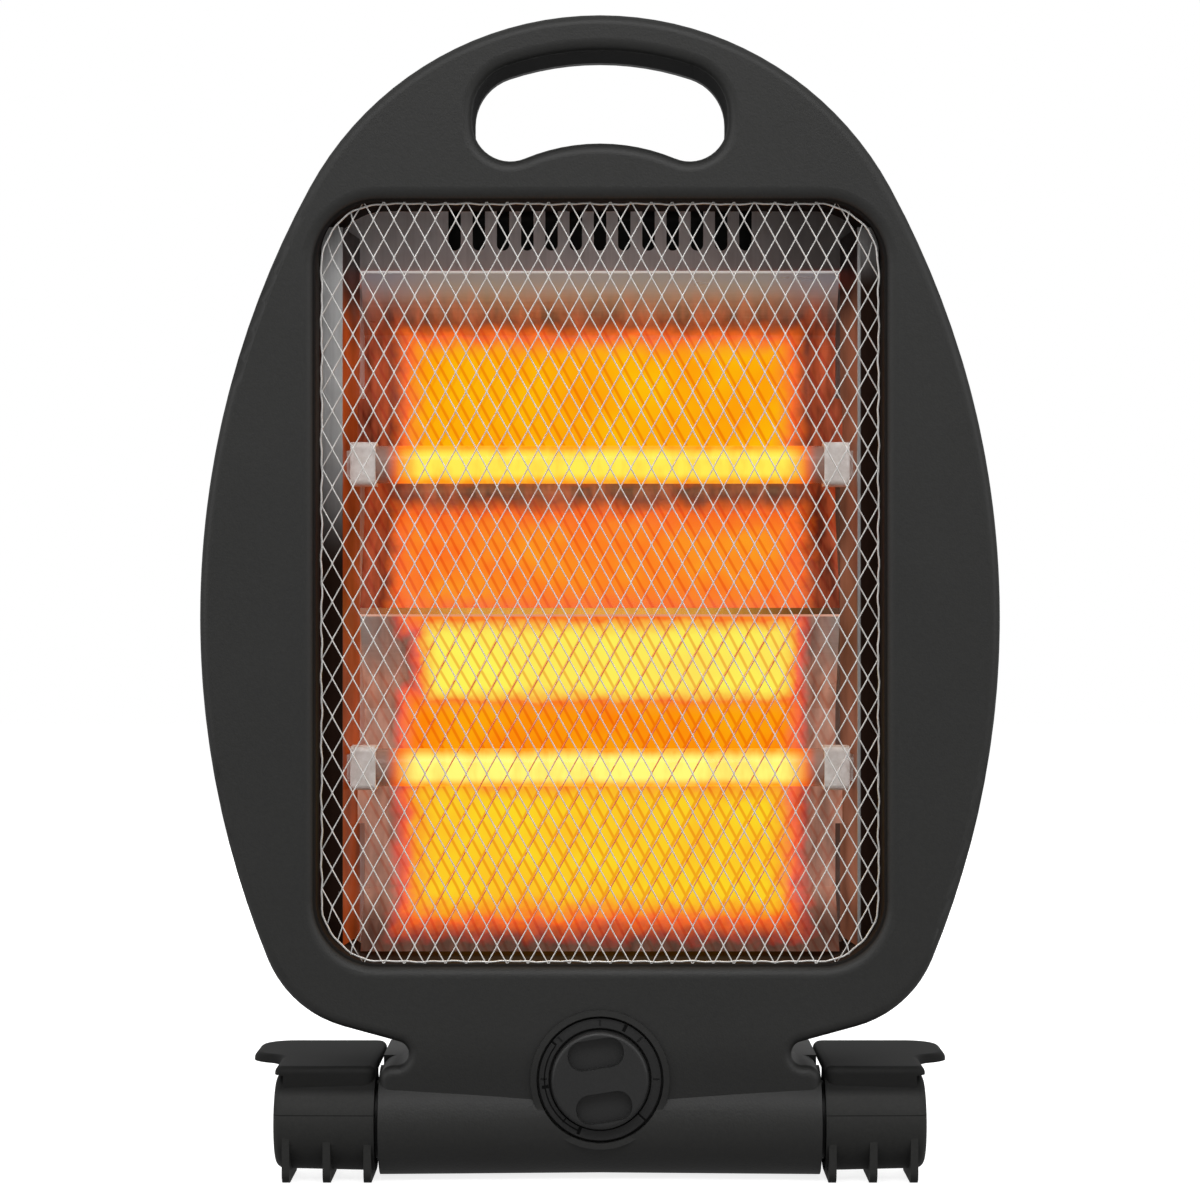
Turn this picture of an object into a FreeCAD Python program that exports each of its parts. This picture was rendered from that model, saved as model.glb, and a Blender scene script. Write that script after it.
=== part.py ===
"""Two-tube quartz heater: an egg-shaped plastic body on a barrel base with two fold-out feet.

Millimetres, +Z up, the front faces -Y. A depth is measured backwards from the front panel's face.
The origin lies on the floor under the middle of the stowed heater.
"""
import FreeCAD
import Part
import math
import os
from FreeCAD import Vector

# Shared clearances
OVERRUN = 1.0
LOOSE_GAP = 0.3
RUN_GAP = 0.05

# Body outline, seen from the front
BODY_TOP = 390.0
BODY_HALF = 133.7
WIDEST_Z = 188.7
SIDE_RADIUS = 300.0
LOW_RADIUS = 38.5
LOW_CENTRE_Z = 89.1
NOTCH_RADIUS = 4.0
NOTCH_Z = 43.0
BASE_INSET = 59.8
NECK_INSET = 9.9
SHOULDER_FLAT = 1.1

# Body shells
WALL = 2.5
SPLIT_DEPTH = 28.0
RIM_DEPTH = 36.0
FRONT_ROUND = 3.5
REAR_ROUND = 4.0

# Window for the guard
WINDOW_BORDER = 38.5
WINDOW_LOW = 72.8
WINDOW_HIGH = 327.8
WINDOW_CORNER = 21.0
WINDOW_ROUND = 4.5
WINDOW_LIP = 5.2
WINDOW_RIM = 5.8

# Carrying handle hole
HANDLE_HALF = 42.6
HANDLE_TOP = 378.0
HANDLE_LOW = 341.2
HANDLE_SILL = 347.2
HANDLE_ARCH_RADIUS = 98.0
HANDLE_END_RADIUS = 17.0
HANDLE_LOBE_RADIUS = 12.6
HANDLE_WALL = 3.0
HANDLE_ROUND = 4.0

# Base with its barrel front
BASE_FLOOR = 1.0
BASE_DEPTH = 76.5
BASE_REAR_ROUND = 10.0
BARREL_RADIUS = 18.25
BARREL_PROUD = 4.6
BARREL_PROUD_MID = 1.2
HINGE_BOSS_RADIUS = 11.5
HINGE_BOSS_LENGTH = 6.0

# Rear cover bulge, neck and vents
BULGE_SIDE_ROOM = 7.0
BULGE_LOW = 62.0
BULGE_HIGH = 336.3
BULGE_CORNER = 30.0
BULGE_DEPTH = 72.0
BULGE_TAPER = 2.0
BULGE_ROUND = 6.0
NECK_REAR_STEP = 6.0
NECK_REAR_INSET = 2.0
NECK_OVERLAP = 16.0
VENT_WIDTH = 4.4
VENT_PITCH = 8.5
VENT_COUNT = 13
VENT_LENGTH = 34.0
VENT_BOTTOM = 278.0
INTAKE_COUNT = 15
INTAKE_LENGTH = 42.0
INTAKE_BOTTOM = 84.0

# Screws that close the body
BODY_SCREW_RADIUS = 1.5
BODY_SCREW_LENGTH = 20.0
BODY_SCREW_HEAD_RADIUS = 3.0
BODY_SCREW_HEAD = 1.8
BODY_SCREW_SINK = 2.2
BODY_BOSS_RADIUS = 4.4
BODY_BOSS_MARGIN = 2.4
LOW_BOSS_BITE = 0.8
PILOT_GAP = 0.1
HANDLE_SCREW_SPAN = 21.4
HANDLE_SCREW_Z = 347.0
FLANK_SCREW_UPPER_Z = 262.0
FLANK_SCREW_LOWER_Z = 135.0
LOW_SCREW_ANGLE = 45.0

# Guard mesh
GUARD_THICKNESS = 0.8
GUARD_OVERLAP = 3.2
GUARD_BORDER = 1.2
GUARD_PITCH_X = 13.8
GUARD_PITCH_Z = 25.6
GUARD_STRAND = 0.9
GUARD_SLIVER = 2.0

# Chassis pan
PAN_SHEET = 0.8
PAN_SIDE_ROOM = 0.8
PAN_LOW = 71.6
PAN_HIGH = 331.5
PAN_CORNER = 21.0
PAN_DEPTH = 58.0
PAN_FLANGE = 2.6
PAN_EAR_REACH = 11.5
PAN_EAR_HALF = 5.0
PAN_SCREW_SPAN = 8.0
PAN_SCREW_UPPER_Z = 235.0
PAN_SCREW_LOWER_Z = 150.0
PAN_SLOT_BOTTOM = 317.0
PAN_SLOT_RUN = 2.5
PAN_WIRE_HOLE_GAP = 0.8
PAN_BOSS_RADIUS = 3.4
PAN_SCREW_RADIUS = 1.4
PAN_SCREW_LENGTH = 5.2
PAN_SCREW_HEAD_RADIUS = 2.6
PAN_SCREW_HEAD = 1.6

# Side plates that carry the tubes
PLATE_SHEET = 0.8
PLATE_FRONT_INSET = 7.8
PLATE_BACK_INSET = 11.0
PLATE_FRONT_DEPTH = 20.0
PLATE_FLANGE = 7.2
PLATE_FOOT = 4.4
PLATE_LOW = 77.0
PLATE_HIGH = 321.0
RIVET_RADIUS = 1.2
RIVET_HEAD_RADIUS = 1.9
RIVET_HEAD = 0.9
RIVET_UPPER_Z = 288.0
RIVET_LOWER_Z = 98.0

# Reflectors, mirrored about the height where they meet
REFLECTOR_SHEET = 0.6
REFLECTOR_MID_Z = 190.7
REFLECTOR_LIP = 1.1
REFLECTOR_LIP_DEPTH = 28.0
REFLECTOR_FLAT_START = 34.0
REFLECTOR_FLAT_END = 96.0
REFLECTOR_BACK_DEPTH = 50.0
REFLECTOR_OUTER = 116.5
REFLECTOR_OUTER_DEPTH = 30.0
REFLECTOR_SIDE_GAP = 2.2
REFLECTOR_TAB_HALF = 9.0

# Quartz tubes and coils
TUBE_RADIUS = 6.5
TUBE_BORE_RADIUS = 5.2
TUBE_END_ROOM = 5.25
TUBE_DEPTH = 34.0
TUBE_UPPER_Z = 241.0
TUBE_LOWER_Z = 137.0
COIL_RADIUS = 4.2
COIL_WIRE_RADIUS = 0.6
COIL_END_ROOM = 10.0
COIL_TURNS = 24

# Ceramic end caps with clips and terminals
CAP_LENGTH = 8.55
CAP_HALF = 7.5
CAP_ROUND = 2.0
CAP_NECK_HALF = 4.6
CAP_NECK_LENGTH = 5.4
CLIP_SHEET = 0.8
CLIP_HALF = 7.4
TERMINAL_RADIUS = 1.2
TERMINAL_TAIL = 4.0
CRIMP_RADIUS = 1.9
CRIMP_LENGTH = 7.0

# Lead wires from the tubes to the switch
LEAD_RADIUS = 1.3
LEAD_BEND = 3.6
LEAD_UPPER_DEPTH = 66.0
LEAD_LOWER_DEPTH = 61.5
LEAD_TURN_Z = 81.0
LEAD_DROP_Z = 38.0

# Rotary switch
SWITCH_HALF = 18.0
SWITCH_LOW = 22.0
SWITCH_HIGH = 47.0
SWITCH_BACK_DEPTH = 25.0
SWITCH_ROUND = 2.0
SWITCH_TAB_LENGTH = 7.0
SWITCH_TAB_HALF = 1.6
SWITCH_TAB_SHEET = 0.8
SWITCH_TAB_INNER_X = 6.0
SWITCH_TAB_OUTER_X = 13.0
SHAFT_RADIUS = 3.0
SHAFT_ENGAGE = 8.0
SHAFT_FLAT = 1.8
SWITCH_SCREW_X = 9.0
SWITCH_SCREW_RADIUS = 1.4
SWITCH_SCREW_LENGTH = 7.0
SWITCH_SCREW_HEAD_RADIUS = 2.6
SWITCH_SCREW_HEAD = 0.7

# Control knob in its dial cup
KNOB_Z = 34.7
CUP_RADIUS = 21.2
CUP_WALL = 2.0
CUP_PROUD = 1.3
CUP_FLOOR_DEPTH = 3.0
RING_RADIUS_GAP = 0.9
RING_INNER_RADIUS = 17.2
RING_HEIGHT = 3.0
TICK_DEPTH = 0.5
TICK_WIDTH = 0.7
TICK_LENGTH = 2.2
TICK_COUNT = 5
TICK_SPAN = 180.0
KNOB_RADIUS = 16.4
KNOB_ROUND = 1.6
KNOB_PROUD = 4.2
KNOB_TILT = 9.0
GRIP_HALF = 4.0
POCKET_HALF = 9.4
POCKET_REACH = 14.0
POCKET_CORNER = 4.8
POCKET_DEPTH = 3.6
KNOB_SKIRT_GAP = 1.1

# Base plate, pads and screws
FLOOR_PLATE = 2.5
PAD_RADIUS = 6.0
PAD_INSET = 15.9
PAD_FRONT_DEPTH = 37.0
PAD_REAR_DEPTH = 66.0
BASE_SCREW_INSET = 7.4
BASE_SCREW_FRONT_DEPTH = 34.0
BASE_SCREW_REAR_DEPTH = 69.0
BASE_SCREW_RADIUS = 1.5
BASE_SCREW_LENGTH = 12.0
BASE_SCREW_HEAD_RADIUS = 2.8
BASE_SCREW_HEAD = 1.2
BASE_BOSS_RADIUS = 3.8

# Tip-over switch
TIP_X = -38.0
TIP_DEPTH = 52.0
TIP_HOUSING_HALF = 9.0
TIP_HOUSING_HEIGHT = 24.0
TIP_BORE_RADIUS = 6.0
TIP_ROOF = 2.0
PLUNGER_RADIUS = 4.0
PLUNGER_TIP_Z = 0.3
PLUNGER_STEM_RADIUS = 2.0
PLUNGER_COLLAR_RADIUS = 5.6
PLUNGER_COLLAR_Z = 10.8
PLUNGER_COLLAR = 1.6
PLUNGER_HOLE_GAP = 0.2
SPRING_WIRE_RADIUS = 0.4
SPRING_RADIUS = 4.2
SPRING_TURNS = 6

# Thermal cut-out on the back of the pan
CUTOUT_X = 38.0
CUTOUT_Z = 190.0
CUTOUT_RADIUS = 8.0
CUTOUT_HEIGHT = 6.0
CUTOUT_FLANGE_RADIUS = 10.5
CUTOUT_FLANGE = 1.0
CUTOUT_TAB_LENGTH = 5.0
CUTOUT_TAB_HALF = 3.0
CUTOUT_TAB_SHEET = 0.8

# Terminal block on the base plate
BLOCK_X = 34.0
BLOCK_DEPTH = 52.0
BLOCK_HALF_X = 15.0
BLOCK_HALF_DEPTH = 8.0
BLOCK_HEIGHT = 13.0
BLOCK_WAYS = 3
BLOCK_WELL_RADIUS = 2.4
BLOCK_WELL_DEPTH = 5.0
BLOCK_ROUND = 1.0

# Cable gland in the rear wall of the base
GLAND_X = 0.0
GLAND_Z = 20.0
GLAND_RADIUS = 6.5
GLAND_FLANGE_RADIUS = 8.5
GLAND_FLANGE = 2.0
GLAND_INNER_LENGTH = 6.0
GLAND_BORE_RADIUS = 3.6

# Feet
FOOT_GAP = 1.4
FOOT_LENGTH = 33.7
FOOT_RADIUS = 16.9
FOOT_END_RADIUS = 16.1
FOOT_END_ROUND = 3.0
FOOT_WALL = 2.6
HUB_RADIUS = 8.0
SOLE_THICKNESS = 3.0
SOLE_ROUND = 2.4
SOLE_FRONT_DEPTH = 3.0
SOLE_BACK_DEPTH = 72.0
SOLE_EAR_REACH = 10.6
SOLE_EAR_FRONT_DEPTH = 32.0
SOLE_EAR_RADIUS = 12.0
SOLE_WAIST_RADIUS = 9.0
SOLE_CORNER = 4.0
SOLE_WEB_HALF = 9.0
FIN_THICKNESS = 2.5
FIN_TOP_Z = 17.0
FIN_ROUND = 4.0
FIN_START = 2.2
FIN_PITCH = 13.6
FIN_COUNT = 3
FIN_INSET = 0.4
WASHER_RADIUS = 11.0
WASHER_THICKNESS = 1.5
WAVE_OUTER_RADIUS = 13.0
WAVE_THICKNESS = 0.9
FOOT_SCREW_RADIUS = 2.0
FOOT_SCREW_LENGTH = 16.0
FOOT_SCREW_HEAD_RADIUS = 4.0
FOOT_SCREW_HEAD = 2.6

# Worked out from the sizes above
PANEL_Y = (BARREL_PROUD - BASE_DEPTH) / 2
BASE_HALF = BODY_HALF - BASE_INSET
NECK_HALF = BASE_HALF - NECK_INSET
NECK_REAR_HALF = NECK_HALF - NECK_REAR_STEP
WINDOW_HALF = BODY_HALF - WINDOW_BORDER
PAN_HALF = WINDOW_HALF + PAN_SIDE_ROOM
BULGE_HALF = PAN_HALF + BULGE_SIDE_ROOM
HANDLE_SCREW_X = HANDLE_HALF + HANDLE_SCREW_SPAN
PAD_X = BASE_HALF - PAD_INSET
BASE_SCREW_X = BASE_HALF - BASE_SCREW_INSET
SIDE_CENTRE_X = BODY_HALF - SIDE_RADIUS
TOP_RISE = BODY_TOP - WIDEST_Z
TOP_RADIUS = (SIDE_RADIUS**2 - SIDE_CENTRE_X**2 - TOP_RISE**2) / (SIDE_RADIUS - TOP_RISE) / 2
TOP_CENTRE_Z = BODY_TOP - TOP_RADIUS
LOW_CENTRE_X = SIDE_CENTRE_X + math.sqrt(
    (SIDE_RADIUS - LOW_RADIUS) ** 2 - (WIDEST_Z - LOW_CENTRE_Z) ** 2
)
NOTCH_X = NECK_HALF + NOTCH_RADIUS
SHOULDER_Z = NOTCH_Z - NOTCH_RADIUS
SHOULDER_RADIUS = BASE_HALF - NOTCH_X - SHOULDER_FLAT
HINGE_Z = BASE_FLOOR + BARREL_RADIUS
HINGE_DEPTH = BARREL_RADIUS - BARREL_PROUD
GUARD_DEPTH = WINDOW_LIP
PAN_FRONT_DEPTH = GUARD_DEPTH + GUARD_THICKNESS
BASE_TOP_INNER = SHOULDER_Z - WALL
FLOOR_TOP = BASE_FLOOR + FLOOR_PLATE
FOOT_INNER_X = BASE_HALF + FOOT_GAP
FOOT_OUTER_X = FOOT_INNER_X + FOOT_LENGTH
SOLE_EAR_X = FOOT_OUTER_X + SOLE_EAR_REACH
FIN_INNER_X = FOOT_INNER_X + FIN_START
HUB_END_X = BASE_HALF - HINGE_BOSS_LENGTH - LOOSE_GAP
SOLE_TOP = HINGE_Z + HINGE_Z
KNOB_BACK_DEPTH = CUP_FLOOR_DEPTH - KNOB_SKIRT_GAP
CUP_INNER_DEPTH = CUP_FLOOR_DEPTH + WALL
SWITCH_FRONT_DEPTH = CUP_INNER_DEPTH
SHAFT_FRONT_DEPTH = -KNOB_PROUD + WALL
PLATE_FRONT_X = WINDOW_HALF - PLATE_FRONT_INSET
PLATE_BACK_X = WINDOW_HALF - PLATE_BACK_INSET
REFLECTOR_HALF = PLATE_BACK_X - REFLECTOR_SIDE_GAP
PAN_SLOT_TOP = PAN_HIGH + PAN_SLOT_RUN
PLATE_LEAN_SHARE = (PLATE_BACK_X - PLATE_FRONT_X) / (PAN_DEPTH - PAN_SHEET - PLATE_FRONT_DEPTH)
CAP_BACK_DEPTH = TUBE_DEPTH + CAP_HALF
CAP_OUTER_X = PLATE_FRONT_X + PLATE_LEAN_SHARE * (CAP_BACK_DEPTH - PLATE_FRONT_DEPTH) - LOOSE_GAP
CAP_INNER_X = CAP_OUTER_X - CAP_LENGTH
TUBE_HALF = CAP_OUTER_X - TUBE_END_ROOM
COIL_HALF = TUBE_HALF - COIL_END_ROOM
CLIP_FRONT_DEPTH = TUBE_DEPTH - CLIP_HALF
CLIP_SEAT_X = PLATE_FRONT_X + PLATE_LEAN_SHARE * (CLIP_FRONT_DEPTH - PLATE_FRONT_DEPTH) + PLATE_SHEET
TERMINAL_END_X = CAP_OUTER_X + CAP_NECK_LENGTH + TERMINAL_TAIL
CRIMP_X = TERMINAL_END_X - CRIMP_RADIUS


def at(x, depth, z):
    """A point given by its depth behind the panel's face."""
    return Vector(x, PANEL_Y + depth, z)


def box(x0, x1, d0, d1, z0, z1):
    """A block between two corners."""
    return Part.makeBox(x1 - x0, d1 - d0, z1 - z0, at(x0, d0, z0))


def rod_x(x0, x1, depth, z, radius):
    """A round bar along X."""
    return Part.makeCylinder(radius, x1 - x0, at(x0, depth, z), Vector(1, 0, 0))


def rod_y(x, z, d0, d1, radius):
    """A round bar along the depth."""
    return Part.makeCylinder(radius, d1 - d0, at(x, d0, z), Vector(0, 1, 0))


def rod_z(x, depth, z0, z1, radius):
    """A round bar along Z."""
    return Part.makeCylinder(radius, z1 - z0, at(x, depth, z0), Vector(0, 0, 1))


def joined(shapes):
    """One solid from several that meet."""
    return shapes[0].fuse(shapes[1:]).removeSplitter()


def polar(cx, cz, radius, degrees):
    """A point of the front view on a circle."""
    turn = math.radians(degrees)
    return at(cx + radius * math.cos(turn), 0, cz + radius * math.sin(turn))


def arc(cx, cz, radius, start, end):
    """An arc of the front view between two angles in degrees."""
    middle = (start + end) / 2
    points = [polar(cx, cz, radius, a) for a in (start, middle, end)]
    return Part.Arc(*points).toShape()


def line(x0, z0, x1, z1):
    """A straight edge of the front view."""
    return Part.LineSegment(at(x0, 0, z0), at(x1, 0, z1)).toShape()


def chained(edges):
    """A closed wire of edges that meet end to end."""
    return Part.Wire(Part.__sortEdges__(edges))


def mirrored_pair(edges):
    """The edges of the right half together with their mirror image."""
    return edges + [edge.mirror(Vector(0, 0, 0), Vector(1, 0, 0)) for edge in edges]


def prism(wire, d0, d1):
    """A front-view outline carried from one depth to another."""
    face = Part.Face(wire)
    face.translate(Vector(0, d0, 0))
    return face.extrude(Vector(0, d1 - d0, 0))


def edges_at_depth(solid, depth):
    """The edges that lie whole in one plane parallel to the panel."""
    y = PANEL_Y + depth
    near = OVERRUN / 100
    return [
        edge
        for edge in solid.Edges
        if abs(edge.BoundBox.YMin - y) < near and abs(edge.BoundBox.YMax - y) < near
    ]


def panel_wire(inset):
    """The body's front outline, drawn in by an inset: egg, notches, shoulders and a flat foot."""
    top_angle = math.degrees(math.atan2(TOP_CENTRE_Z - WIDEST_Z, -SIDE_CENTRE_X))
    low_angle = math.degrees(math.atan2(LOW_CENTRE_Z - WIDEST_Z, LOW_CENTRE_X - SIDE_CENTRE_X))
    gap_x = NOTCH_X - LOW_CENTRE_X
    gap_z = NOTCH_Z - LOW_CENTRE_Z
    swing = math.degrees(math.acos((LOW_RADIUS + NOTCH_RADIUS) / math.hypot(gap_x, gap_z)))
    leave_angle = math.degrees(math.atan2(gap_z, gap_x)) + swing
    low_end = polar(LOW_CENTRE_X, LOW_CENTRE_Z, LOW_RADIUS - inset, leave_angle)
    notch_start = polar(NOTCH_X, NOTCH_Z, NOTCH_RADIUS + inset, leave_angle + 180)
    side_x = BASE_HALF - inset
    shoulder_x = BASE_HALF - SHOULDER_RADIUS
    shoulder_z = SHOULDER_Z - SHOULDER_RADIUS
    edges = [
        arc(0, TOP_CENTRE_Z, TOP_RADIUS - inset, 90, top_angle),
        arc(SIDE_CENTRE_X, WIDEST_Z, SIDE_RADIUS - inset, top_angle, low_angle),
        arc(LOW_CENTRE_X, LOW_CENTRE_Z, LOW_RADIUS - inset, low_angle, leave_angle),
        Part.LineSegment(low_end, notch_start).toShape(),
        arc(NOTCH_X, NOTCH_Z, NOTCH_RADIUS + inset, leave_angle + 180, 270),
        arc(shoulder_x, shoulder_z, SHOULDER_RADIUS - inset, 90, 0),
        line(side_x, shoulder_z, side_x, HINGE_Z),
        line(side_x, HINGE_Z, 0, HINGE_Z),
        line(NOTCH_X, SHOULDER_Z - inset, shoulder_x, SHOULDER_Z - inset),
    ]
    return chained(mirrored_pair(edges))


def handle_wire(outset):
    """The finger hole's outline: arched top, round ends and a sill that swells in the middle."""
    arch_z = HANDLE_TOP - HANDLE_ARCH_RADIUS
    end_x = HANDLE_HALF - HANDLE_END_RADIUS
    end_z = arch_z + math.sqrt((HANDLE_ARCH_RADIUS - HANDLE_END_RADIUS) ** 2 - end_x**2)
    end_angle = math.degrees(math.atan2(end_z - arch_z, end_x))
    lobe_x = HANDLE_HALF - HANDLE_LOBE_RADIUS
    lobe_z = HANDLE_LOW + HANDLE_LOBE_RADIUS
    lift = lobe_z - HANDLE_SILL
    sill_radius = (lobe_x**2 + lift**2 - HANDLE_LOBE_RADIUS**2) / (HANDLE_LOBE_RADIUS - lift) / 2
    sill_z = HANDLE_SILL - sill_radius
    sill_angle = math.degrees(math.atan2(lobe_z - sill_z, lobe_x))
    side_x = HANDLE_HALF + outset
    edges = [
        arc(0, arch_z, HANDLE_ARCH_RADIUS + outset, 90, end_angle),
        arc(end_x, end_z, HANDLE_END_RADIUS + outset, end_angle, 0),
        line(side_x, end_z, side_x, lobe_z),
        arc(lobe_x, lobe_z, HANDLE_LOBE_RADIUS + outset, 0, sill_angle - 180),
        arc(0, sill_z, sill_radius - outset, sill_angle, 90),
    ]
    return chained(mirrored_pair(edges))


def round_rect(half, low, high, corner):
    """A front-view rectangle with round corners."""
    inner_x = half - corner
    inner_low = low + corner
    inner_high = high - corner
    edges = [
        line(-inner_x, high, inner_x, high),
        arc(inner_x, inner_high, corner, 90, 0),
        line(half, inner_high, half, inner_low),
        arc(inner_x, inner_low, corner, 0, -90),
        line(inner_x, low, -inner_x, low),
        arc(-inner_x, inner_low, corner, 270, 180),
        line(-half, inner_low, -half, inner_high),
        arc(-inner_x, inner_high, corner, 180, 90),
    ]
    return chained(edges)


def window_wire(outset):
    """The window's outline, let out by an outset."""
    return round_rect(
        WINDOW_HALF + outset, WINDOW_LOW - outset, WINDOW_HIGH + outset, WINDOW_CORNER + outset
    )


def slot(x, z0, z1, width, d0, d1):
    """A vertical slot with round ends."""
    half = width / 2
    edges = [
        line(x - half, z0 + half, x - half, z1 - half),
        arc(x, z1 - half, half, 180, 0),
        line(x + half, z1 - half, x + half, z0 + half),
        arc(x, z0 + half, half, 0, -180),
    ]
    return prism(chained(edges), d0, d1)


def slot_row(count, pitch, width, z0, z1, d0, d1):
    """A row of vertical slots centred on the middle line."""
    first = -pitch * (count - 1) / 2
    return [slot(first + pitch * i, z0, z1, width, d0, d1) for i in range(count)]


def body_screw_places():
    """Where the screws close the two body shells, as x and z."""
    inset = WALL + BODY_BOSS_RADIUS
    places = [(HANDLE_SCREW_X, HANDLE_SCREW_Z)]
    for z in (FLANK_SCREW_UPPER_Z, FLANK_SCREW_LOWER_Z):
        reach = math.sqrt((SIDE_RADIUS - inset) ** 2 - (z - WIDEST_Z) ** 2)
        places.append((SIDE_CENTRE_X + reach - BODY_BOSS_MARGIN, z))
    low_reach = LOW_RADIUS - inset + LOW_BOSS_BITE
    low = polar(LOW_CENTRE_X, LOW_CENTRE_Z, low_reach, -LOW_SCREW_ANGLE)
    places.append((low.x, low.z))
    return places + [(-x, z) for x, z in places]


def pan_screw_places():
    """Where the chassis pan's ears are screwed to the front housing."""
    x = PAN_HALF + PAN_SCREW_SPAN
    return [(side * x, z) for side in (-1, 1) for z in (PAN_SCREW_UPPER_Z, PAN_SCREW_LOWER_Z)]


def base_screw_places():
    """Where the base plate is screwed up into the rear cover, as x and depth."""
    depths = (BASE_SCREW_FRONT_DEPTH, BASE_SCREW_REAR_DEPTH)
    return [(side * BASE_SCREW_X, depth) for side in (-1, 1) for depth in depths]


def barrel(radius, half):
    """The base's round front: two round bars that lean back a little to meet in the middle."""
    middle = at(0, BARREL_RADIUS - BARREL_PROUD_MID, HINGE_Z)
    arms = []
    for side in (-1, 1):
        end = at(side * BASE_HALF, BARREL_RADIUS - BARREL_PROUD, HINGE_Z)
        lean = (end - middle).normalize()
        bar = Part.makeCylinder(radius, BASE_HALF + BASE_HALF, middle - lean * radius, lean)
        x0, x1 = sorted((0, side * half))
        arms.append(bar.common(box(x0, x1, -BASE_DEPTH, BASE_DEPTH, -BASE_DEPTH, BASE_DEPTH)))
    return joined(arms)


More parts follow.
